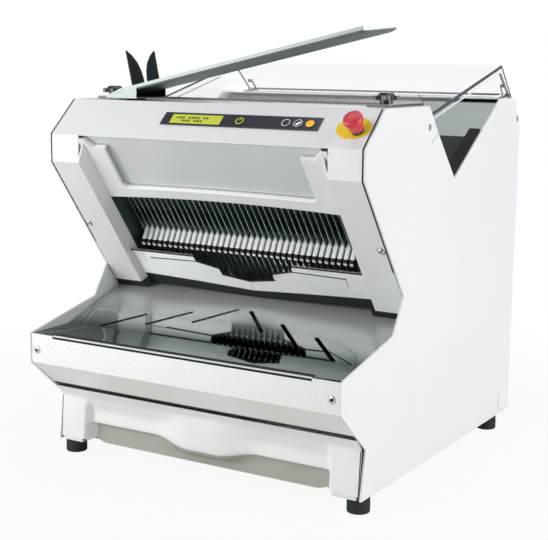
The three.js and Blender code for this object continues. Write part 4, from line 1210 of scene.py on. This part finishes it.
@dataclass
class Hood(Assembly):
    """The pearl moulding over the knives: a raised border round a recess that is open upwards.

    Its lower edge and the lip of the recess are arched, from the side to the centre. The recess
    is painted darker as shade, with a painted shadow line at the foot of its slope.
    """

    half: float = 231.3
    top: float = -33.2
    side: float = 91.5
    centre: float = 83.0
    border: float = 20.3
    recess: float = 30.0
    wall: float = 3.0
    recess_half: float = 183.0
    shoulder: Point = (205.0, -16.0)
    above_lip: float = 0.84
    lip_side: float = 70.0
    lip_centre: float = 65.5
    corner: float = 8.0
    # Width of the slope between the recess and the border, and of the painted shadow line at its foot
    step: float = 3.2
    line: float = 1.5
    cells: tuple[int, int] = (300, 120)

    def build(self) -> None:
        """Presses the hood out of a fine sheet."""
        shape = Shape()
        flat = shape.sheet(self.cells)
        for vert in flat:
            vert.co = self._spot(vert.co.x, (vert.co.y + 1) / 2)
        solid = shape.thickened(flat, (0.0, 0.0, self.wall))
        for face in shape.mesh.faces:
            x, along, _ = face.calc_center_median()
            rim = self._rim(abs(x), along, self._lip(1 - (x / self.half) ** 2))
            face.material_index = self._zone(rim)
        shape.moved(solid, SLOPE.place(0.0, 0.0))
        # The border, the recess in painted shade and its painted shadow line
        finishes = [PEARL, PEARL_PAINTED_SHADE, PEARL_SHADOW_LINE]
        self.shop.add(
            "hood_pressed", shape.closed(), finishes, "housing", "ivory_plastic", ["hood"],
            SMOOTH_PRESSED,
        )

    def _zone(self, rim: float) -> int:
        """The finish at a distance outside the recess: the border, the recess in painted shade, or the
        painted shadow line at its foot.
        """
        outside = 2 if rim < self.line - self.step else 0
        return 1 if rim < -self.step else outside

    def _lip(self, middle: float) -> float:
        """The arched lower edge of the recess."""
        return self.lip_side + (self.lip_centre - self.lip_side) * middle

    def _spot(self, across: float, down: float) -> Triple:
        """A place on the hood's face.

        Args:
            across: Share of the half width, from -1 to 1.
            down: Share of the way down.

        Returns:
            The place as (x, along, off).
        """
        middle = 1 - across * across
        edge = self.side + (self.centre - self.side) * middle
        lip = self._lip(middle)
        if down < self.above_lip:
            along = self.top + down / self.above_lip * (lip - self.top)
        else:
            along = lip + (down - self.above_lip) / (1 - self.above_lip) * (edge - lip)
        x = across * self.half
        raised = eased_share(self._rim(abs(x), along, lip), -self.step, 0.0)
        return x, along, self.recess + raised * (self.border - self.recess)

    def _rim(self, x: float, along: float, lip: float) -> float:
        """Distance outside the recess, which is a rounded box with a wider part at its top.

        Args:
            x: Place across the machine, without its sign.
            along: Place down the hood.
            lip: Where the recess ends there.

        Returns:
            The distance, below zero in the recess.
        """
        wide = x - self.recess_half + self.corner
        low = along - lip + self.corner
        box = math.hypot(max(wide, 0.0), max(low, 0.0)) + min(max(wide, low), 0.0) - self.corner
        out, start = self.shoulder
        slant = (x - out + along - start) / math.sqrt(2)
        return min(box, max(along - start, slant))


@dataclass
class Knives(Assembly):
    """The two knife frames with their scalloped blades, the drive and the guides.

    A blade has its front edge at near and its rear edge at far, and narrows to a tang above top
    and below bottom.
    """

    pitch: float = 11.3
    count: int = 38
    thickness: float = 0.8
    near: float = 41.0
    far: float = 53.0
    top: float = 93.0
    bottom: float = 265.0
    scallop: float = 9.0
    scallop_deep: float = 2.0
    ground: float = 2.4
    cells: tuple[int, int] = (62, 2)
    tangs: tuple[Point, Point] = ((38.0, 43.0), (51.0, 56.0))
    ends: Point = (50.0, 308.0)
    half: float = 240.0
    post: float = 8.0
    post_lap: float = 0.2
    bars: tuple[Point, Point] = ((44.0, 58.0), (302.0, 316.0))
    # Where the bars of the first frame and of the second start, off the slope
    planes: Point = (36.0, 50.0)
    wall: float = 8.0
    lug: Point = (8.0, 28.0)
    lug_middle: Point = (27.4, 325.0)
    pin_middle: Point = (31.7, 330.0)
    pin_radius: float = 4.0
    pin_half: float = 8.0
    pin_sides: int = 20
    ease: float = 0.5

    def build(self) -> None:
        """Builds and dresses the knives and their drive."""
        shop = self.shop
        for index, letter in enumerate("ab"):
            self._frame(index, letter)
        shop.dress(CAST, "rod_a", "rod_b", "bearing_left", "bearing_right", "motor_pulley")
        shop.dress(STEEL, "crankshaft")
        shop.dress(MOTOR_PAINT, "motor")
        shop.dress(RUBBER, "belt")
        shop.dress(MOULDED_WHITE, "frame_guide_left", "frame_guide_right")

    def _frame(self, index: int, letter: str) -> None:
        """Builds one frame: two bars, two posts, a lug with its pin, and every other blade.

        Args:
            index: 0 for the first frame and 1 for the second.
            letter: The frame's letter.
        """
        shape = Shape()
        middle = self.planes[index] + self.wall / 2
        for start, end in self.bars:
            size = (2 * self.half, end - start, self.wall)
            shape.block(size, SLOPE.place(0.0, (start + end) / 2, middle))
        start, end = self.bars[0][1], self.bars[1][0]
        post = (self.post, end - start + self.post_lap, self.wall)
        for _, sign in SIDES:
            across = sign * (self.half - self.post / 2)
            shape.block(post, SLOPE.place(across, (end + start) / 2, middle))
        sign = index * 2 - 1
        across, along = self.lug_middle
        shape.block((*self.lug, self.wall), SLOPE.place(sign * across, along, middle))
        across, along = self.pin_middle
        pin = SLOPE.place(sign * across, along, middle) @ FACING_RIGHT
        radii = (self.pin_radius, self.pin_radius)
        shape.disc(radii, -self.pin_half, self.pin_half, pin, self.pin_sides)
        shape.eased(self.ease, 1)
        for number in range(index, self.count, 2):
            self._blade(shape, index, (number - (self.count - 1) / 2) * self.pitch)
        # Dark steel as painted shade, and lighter steel on the ground band as a painted highlight
        steels = [BLADE_SHADED_STEEL, GROUND_HIGHLIGHT_STEEL]
        body = f"knives_{letter}"
        self.shop.add(body, shape, steels, body, "steel", [f"knife_frame_{letter}"])

    def _blade(self, shape: Shape, index: int, across: float) -> None:
        """Adds one blade: a strip whose front edge is scalloped between its tangs.

        Args:
            shape: The shape that it joins.
            index: 0 for the first frame and 1 for the second.
            across: Its place across the machine.
        """
        flat = shape.sheet(self.cells)
        front_tang, rear_tang = self.tangs[index]
        start, end = self.ends
        for vert in flat:
            along = start + (vert.co.x + 1) / 2 * (end - start)
            reach = min(
                1.0, (along - start) / (self.top - start), (end - along) / (end - self.bottom)
            )
            is_front = vert.co.y < 0.5
            off = (self.near if is_front else self.far) * reach
            off += (front_tang if is_front else rear_tang) * (1 - reach)
            if abs(vert.co.y) < 0.5:
                off += self.ground
            elif is_front and reach == 1.0:
                wave = abs(math.sin(math.pi * (along - self.top) / self.scallop))
                off += self.scallop_deep * (1 - wave)
            vert.co = (0.0, along, off)
        solid = shape.thickened(flat, (self.thickness, 0.0, 0.0))
        # Faces of the ground band along the scalloped edge get the painted highlight
        for face in {face for vert in solid for face in vert.link_faces}:
            _, along, off = face.calc_center_median()
            in_highlight_band = self.top < along < self.bottom and off < self.near + self.ground
            face.material_index = int(in_highlight_band)
        shape.moved(solid, SLOPE.place(across - self.thickness / 2, 0.0))


@dataclass
class Outlet(Assembly):
    """Wings, outlet moulding, catch table and its strip."""

    # Faces of a wing narrower than this are its edges, painted black as shade, and faces of the
    # moulding that are more sideways than this are its cheeks, which carry painted light
    narrow: float = 2.4
    sideways: float = 0.9
    strip_ease: float = 0.6
    strip_half: float = 244.0
    line_deep: float = 0.3
    # Place back, lower edge and upper edge of the lines along the strip: a painted highlight line and a
    # painted shadow line
    strip_lines: tuple[tuple[str, Finish, Triple], ...] = (
        ("strip_painted_highlight", FINGER_WHITE, (-66.1, 223.8, 225.3)),
        ("strip_painted_shadow", BLACK, (-68.15, 219.6, 223.2)),
    )
    table_ease: float = 0.7
    screw: Screw = Screw(washer_wall=0.5, rise=1.0)
    screws: Point = (277.7, 197.0)
    nose: float = -68.1
    seal_line: tuple[Point, Point] = ((-14.1, 130.0), (-9.7, 126.3))
    seal_reach: Point = (-0.3, 0.5)
    seal_half: float = 288.7
    shadow_bead: float = 2.4
    bead_long: float = 4.0
    # Back and up parts of a normal that tell an upper face from a front one
    bead_lean: Point = (0.3, 0.5)

    def build(self) -> None:
        """Builds and dresses the outlet."""
        shop = self.shop
        wings = ("wing_left", "wing_right")
        # The wings' narrow edges are painted black as shade
        shop.soften([SATIN, BLACK], 0.0, *wings, chosen=narrower(self.narrow))
        # The moulding's cheeks get the lighter green-grey, painted light
        shop.soften([BLACK, CHEEK_PAINTED_LIGHT], 0.0, "outlet_band", chosen=self._is_cheek)
        shop.soften(RUBBER, self.strip_ease, "table_strip")
        for wing in wings:
            self._run_shadow_beads(wing)
        for name, finish, (back, low, high) in self.strip_lines:
            middle = Matrix.Translation((0.0, back, (low + high) / 2))
            line = Shape().block((2 * self.strip_half, self.line_deep, high - low), middle)
            shop.add(name, line, finish, "housing", "black_plastic")
        shop.soften(TABLE, self.table_ease, "catch_table", segments=3)
        across, up = self.screws
        places = [
            Matrix.Translation((sign * across, self.nose, up)) @ FACING_FRONT for _, sign in SIDES
        ]
        self.screw.fit(shop, "plate_screws", places)
        seal = Shape().ribbon(self.seal_line, self.seal_reach, (-self.seal_half, self.seal_half))
        shop.add("under_seal", seal.closed(), BLACK, "housing", "black_plastic")

    def _is_cheek(self, face: Face) -> bool:
        """Whether a face of the moulding looks sideways."""
        return abs(face.normal.x) > self.sideways

    def _run_shadow_beads(self, wing: str) -> None:
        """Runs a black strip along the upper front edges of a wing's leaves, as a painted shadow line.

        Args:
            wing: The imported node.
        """
        shadow_beads = Shape()
        source = Shape().copied(self.shop.node(wing))
        back, up = self.bead_lean
        for edge in source.mesh.edges:
            first, last = (vert.co for vert in edge.verts)
            normals = [face.normal for face in edge.link_faces]
            is_upper = any(normal.z > up and normal.y < back for normal in normals)
            is_front = any(normal.y < -back and normal.z < up for normal in normals)
            if is_upper and is_front and edge.calc_length() >= self.bead_long:
                turn = (last - first).to_track_quat("X", "Z").to_matrix().to_4x4()
                place = Matrix.Translation((first + last) / 2) @ turn
                shadow_beads.block((edge.calc_length() + self.shadow_bead, self.shadow_bead, self.shadow_bead), place)
        source.mesh.free()
        self.shop.add(f"{wing}_bead", shadow_beads, BLACK, "housing", "black_plastic")


@dataclass
class Drawer(Assembly):
    """The drawer's moulded front and its tray.

    The three profiles run from the front's top to its foot, as places (back, up).
    """

    half: float = 288.2
    # Places across between which the recess turns into the post, the foot rises and the bulge fades
    post_edge: Point = (226.8, 240.4)
    foot_edge: Point = (204.8, 237.8)
    foot_rise: float = 8.6
    bulge_edge: Point = (28.0, 104.0)
    wall: float = 3.0
    cells: tuple[int, int] = (320, 90)
    softness: float = 0.22
    samples: int = 7
    post: Outline = (
        (-8.0, 121.7), (6.4, 104.3), (5.0, 82.7), (3.1, 60.7), (2.9, 56.7), (2.0, 44.7), (0.9, 31.7),
    )
    recess: Outline = (
        (-8.0, 121.7), (6.4, 104.3), (16.9, 82.7), (15.1, 60.4), (24.1, 56.7), (22.9, 40.7), (21.0, 25.2),
    )
    bulge: Outline = (
        (-8.0, 121.7), (4.5, 106.7), (3.8, 95.7), (3.0, 59.7), (6.0, 44.0), (20.0, 38.7), (21.0, 25.2),
    )
    # Place down the profiles, counted in their points, under which the recess is painted darker as shade
    ledge: float = 3.6
    seal: Point = (287.2, 288.4)
    seal_reach: Point = (-1.0, 0.3)
    tray_ease: float = 0.4

    def build(self) -> None:
        """Builds and dresses the drawer."""
        self._front()
        self.shop.soften(STAINLESS, self.tray_ease, "crumb_tray")
        seals = Shape().ribbons(self.post[1:], self.seal_reach, self.seal).closed()
        self.shop.add("drawer_seals", seals, BLACK, "drawer", "white_plastic")

    def _front(self) -> None:
        """Presses the front out of a fine sheet; the recess under its ledge is painted darker as shade.
        """
        shape = Shape()
        flat = shape.sheet(self.cells)
        last = len(self.post) - 1
        rows = {vert: (vert.co.y + 1) / 2 * last for vert in flat}
        # Faces of the recess under the ledge get the painted shade
        for face in shape.mesh.faces:
            row = sum(rows[vert] for vert in face.verts) / len(face.verts)
            across = abs(face.calc_center_median().x) * self.half
            face.material_index = int(row > self.ledge and across < self.post_edge[0])
        for vert, row in rows.items():
            vert.co = self._spot(vert.co.x * self.half, row)
        shape.thickened(flat, (0.0, self.wall, 0.0))
        self.shop.add(
            "drawer_front_pressed", shape.closed(), [MOULDED_WHITE, RECESS_SHADE], "drawer",
            "white_plastic", ["drawer_front"], SMOOTH_PRESSED,
        )

    def _spot(self, x: float, row: float) -> Triple:
        """A place on the front.

        Args:
            x: Place across the machine.
            row: Place down the profiles, counted in their points.

        Returns:
            The place as (x, back, up).
        """
        across = abs(x)
        in_post = eased_share(across, *self.post_edge)
        in_bulge = 1.0 - eased_share(across, *self.bulge_edge)
        post, recess, bulge = (self._rounded(line, row) for line in (self.post, self.recess, self.bulge))
        back, up = (
            base + (first - base) * in_post + (second - base) * in_bulge
            for first, base, second in zip(post, recess, bulge)
        )
        rise = self.foot_rise * eased_share(across, *self.foot_edge) * (1.0 - in_post)
        return x, back, max(up, self.recess[-1][1] + rise)

    def _rounded(self, line: Sequence[Point], row: float) -> Point:
        """A place on a profile, whose corners are rounded by a mean over its neighbourhood.

        Args:
            line: The profile.
            row: The place, counted in its points.

        Returns:
            The place as (back, up).
        """
        last = len(line) - 1
        total = [0.0, 0.0]
        reach = min(self.softness, row, last - row)
        for sample in range(self.samples):
            place = row + (sample / (self.samples - 1) * 2 - 1) * reach
            first = min(last - 1, int(place))
            share = place - first
            for axis in range(2):
                total[axis] += line[first][axis] * (1 - share) + line[first + 1][axis] * share
        return total[0] / self.samples, total[1] / self.samples


@dataclass
class Infeed(Assembly):
    """Floor, mat, rails and pusher."""

    floor_ease: float = 0.4
    mat_ease: float = 0.5
    rail_ease: float = 0.8
    cap_ease: float = 0.9
    pitch: float = 11.3
    fingers: int = 37
    comb: tuple[Point, Point] = ((140.0, 206.0), (61.7, 66.0))
    cap_wide: float = 7.3
    cap: Outline = (
        (193.2, 25.8), (178.4, 54.8), (177.8, 57.4), (179.4, 59.0), (183.0, 58.0), (197.0, 30.0),
    )
    body_wide: float = 6.6
    tip: Outline = ((196.8, 20.5), (202.4, 20.5), (202.4, 23.5), (196.8, 23.5))
    body: Outline = (
        (193.4, 26.0), (196.6, 20.9), (202.6, 20.9), (206.0, 24.0), (206.0, 62.0), (179.4, 62.0),
        (179.6, 58.6),
    )

    def build(self) -> None:
        """Builds and dresses the infeed."""
        shop = self.shop
        shop.soften(FLOOR_SHEET, self.floor_ease, "infeed_floor")
        shop.soften(MAT, self.mat_ease, "infeed_mat")
        shop.soften(BLACK, self.rail_ease, "guide_rail_left", "guide_rail_right")
        self._fingers()
        shop.soften(STAINLESS, self.floor_ease, "pusher_beam")

    def _fingers(self) -> None:
        """Builds the comb: fingers whose bodies are painted black as shade, with white caps and white
        tips.
        """
        caps, bodies = Shape(), Shape()
        for number in range(self.fingers):
            across = (number - (self.fingers - 1) / 2) * self.pitch
            place = SLOPE.place(across, 0.0) @ EDGEWISE
            for outline, wide, shape in (
                (self.cap, self.cap_wide, caps),
                (self.tip, self.body_wide, caps),
                (self.body, self.body_wide, bodies),
            ):
                shape.prism(outline, -wide / 2, wide / 2, place)
        caps.closed().eased(self.cap_ease)
        (top, low), (near, far) = self.comb
        size = (self.fingers * self.pitch, low - top, far - near)
        bodies.block(size, SLOPE.place(0.0, (top + low) / 2, (near + far) / 2))
        nodes = ["pusher_fingers"]
        self.shop.add("finger_caps", caps, FINGER_WHITE, "pusher", "white_plastic", nodes)
        # The black bodies and the block behind them are painted shade
        self.shop.add("finger_shade_bodies", bodies.closed(), BLACK, "pusher", "black_plastic")


@dataclass
class Top(Assembly):
    """Clear lid on its hinges, clear front lip and star knobs."""

    # Faces of the clear sheets narrower than this are their edges, which are painted dark as shade
    narrow: float = 6.0
    edge_line: tuple[Point, Point] = ((542.0, 669.7), (215.0, 587.0))
    edge_reach: Point = (-3.2, -0.2)
    edge: Point = (277.8, 279.8)
    knob_ease: float = 0.8

    def build(self) -> None:
        """Builds and dresses the top."""
        shop = self.shop
        shop.soften([CLEAR, CLEAR_EDGE_SHADE], 0.0, "lid", "front_lip", chosen=narrower(self.narrow))
        # Dark strips along the lid's side edges, painted shade
        edges = Shape().ribbons(self.edge_line, self.edge_reach, self.edge).closed()
        shop.add("lid_edge_shade", edges, CLEAR_EDGE_SHADE, "lid", "clear_sheet")
        shop.dress(STAINLESS, "lid_hinge_left", "lid_hinge_right")
        shop.soften(KNOB, self.knob_ease, "knob_left", "knob_right")


@dataclass
class Trough(Assembly):
    """The bagging trough with its fins and its bracket."""

    ease: float = 0.4
    fin_ease: float = 0.6
    smooth: float = 50.0

    def build(self) -> None:
        """Builds and dresses the trough."""
        # The trough's sheet carries a painted dark reflection
        self.shop.soften(TROUGH_PAINTED_REFLECTION, self.ease, "scoop", smooth=self.smooth)
        self.shop.soften(BLACK, self.fin_ease, "fin_near", "fin_far", "scoop_bracket")


# The studio


@dataclass(frozen=True)
class Lamp:
    """A square lamp: its place and its side in metres, and its power in watts."""

    name: str
    spot: Triple
    side: float
    power: float

    def hang(self, aim: Vector) -> None:
        """Adds the lamp to the scene.

        Args:
            aim: The place that it faces, in metres.
        """
        data = bpy.data.lights.new(self.name, "AREA")
        data.size = self.side
        data.energy = self.power
        lamp = bpy.data.objects.new(self.name, data)
        turn = (aim - Vector(self.spot)).to_track_quat("-Z", "Y").to_matrix().to_4x4()
        lamp.matrix_world = Matrix.Translation(self.spot) @ turn
        bpy.context.scene.collection.objects.link(lamp)


@dataclass
class Studio:
    """Floor, lamps, world and camera.

    The camera's angles are in radians, its place in millimetres and its focal length in pixels.
    The other lengths are in metres, but for the sensor's width.
    """

    yaw: float = -0.542536734
    pitch: float = 0.168650712
    roll: float = 0.0110598216
    place: Triple = (1084.10, -1570.17, 674.20)
    focal: float = 1231.93
    frame_width: float = 548.0
    sensor: float = 36.0
    clip: Point = (0.05, 60.0)
    sky: Triple = (0.9, 0.93, 1.0)
    sky_power: float = 0.3
    floor_half: float = 12.0
    floor_colour: Triple = (0.7, 0.7, 0.69)
    # How much the shadow shows near the machine, and where that fades
    shadow: float = 0.08
    shadow_reach: Point = (0.4, 1.5)
    aim: Triple = (0.0, 0.0, 0.3)
    lamps: tuple[Lamp, ...] = (
        Lamp("key", (-1.5, -1.9, 1.0), 1.8, 41.0),
        Lamp("fill", (2.9, 0.1, 1.0), 2.4, 64.0),
        Lamp("overhead", (0.0, 0.4, 2.6), 2.0, 13.0),
        Lamp("behind", (-0.9, 3.0, 0.7), 2.2, 22.0),
    )

    def build(self) -> None:
        """Sets the scene round the machine."""
        self._camera()
        self._world()
        self._floor()
        for lamp in self.lamps:
            lamp.hang(Vector(self.aim))
        bpy.context.scene.view_settings.view_transform = "Standard"

    def _camera(self) -> None:
        """Stands the camera where the photograph was taken."""
        forward = Vector((
            math.sin(self.yaw) * math.cos(self.pitch),
            math.cos(self.yaw) * math.cos(self.pitch),
            -math.sin(self.pitch),
        ))
        level = Vector((math.cos(self.yaw), -math.sin(self.yaw), 0.0))
        upward = level.cross(forward)
        right = level * math.cos(self.roll) + upward * math.sin(self.roll)
        upright = upward * math.cos(self.roll) - level * math.sin(self.roll)
        data = bpy.data.cameras.new("camera")
        data.sensor_width = self.sensor
        data.lens = self.focal / self.frame_width * self.sensor
        data.clip_start, data.clip_end = self.clip
        camera = bpy.data.objects.new("camera", data)
        turn = Matrix((right, upright, -forward)).transposed().to_4x4()
        spot = (Vector(self.place) + Vector((0.0, SET_BACK, 0.0))) * MM
        camera.matrix_world = Matrix.Translation(spot) @ turn
        bpy.context.scene.collection.objects.link(camera)
        bpy.context.scene.camera = camera

    def _world(self) -> None:
        """Soft bluish light all round, seen as white."""
        world = bpy.data.worlds.new("studio")
        bpy.context.scene.world = world
        recipe = Recipe(world, "Background")
        recipe.surface(Color=self.sky, Strength=self.sky_power)
        white = recipe.node("ShaderNodeBackground", {}, {"Color": (1.0, 1.0, 1.0)})
        seen, through = (
            recipe.node("ShaderNodeLightPath", output=f"Is {kind} Ray")
            for kind in ("Camera", "Transmission")
        )
        recipe.mix_in(seen.larger(through), white, "World Output")

    def _floor(self) -> None:
        """A white floor that keeps a faint shadow of the machine."""
        data = bpy.data.meshes.new("floor")
        mesh = bmesh.new()
        bmesh.ops.create_grid(mesh, x_segments=1, y_segments=1, size=self.floor_half)
        mesh.to_mesh(data)
        mesh.free()
        floor = bpy.data.objects.new("floor", data)
        bpy.context.scene.collection.objects.link(floor)
        material = bpy.data.materials.new("floor_white")
        recipe = Recipe(material)
        recipe.surface(Base_Color=self.floor_colour, Roughness=0.9, Specular_IOR_Level=0.0)
        glow = recipe.node("ShaderNodeEmission", {}, {"Color": (1.0, 1.0, 1.0), "Strength": 1.0})
        seen = recipe.node("ShaderNodeLightPath", output="Is Camera Ray")
        length = {"operation": "LENGTH"}
        away = recipe.node("ShaderNodeVectorMath", length, {0: recipe.spot()}, "Value")
        faded = away.step(*self.shadow_reach) * self.shadow + (1.0 - self.shadow)
        recipe.mix_in(seen * faded, glow, "Material Output")
        data.materials.append(material)


def main() -> None:
    """Builds the whole scene in order and notes how many pieces it made."""
    logging.basicConfig(level=logging.INFO, format="%(name)s: %(message)s")
    shop = Workshop(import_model())
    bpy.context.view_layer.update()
    Studio().build()
    for assembly in (Cabinet, Front, Knives, Outlet, Drawer, Infeed, Top, Trough):
        assembly(shop).build()
    LOG.info("%d pieces made", len(shop.made))


if __name__ == "__main__":
    main()
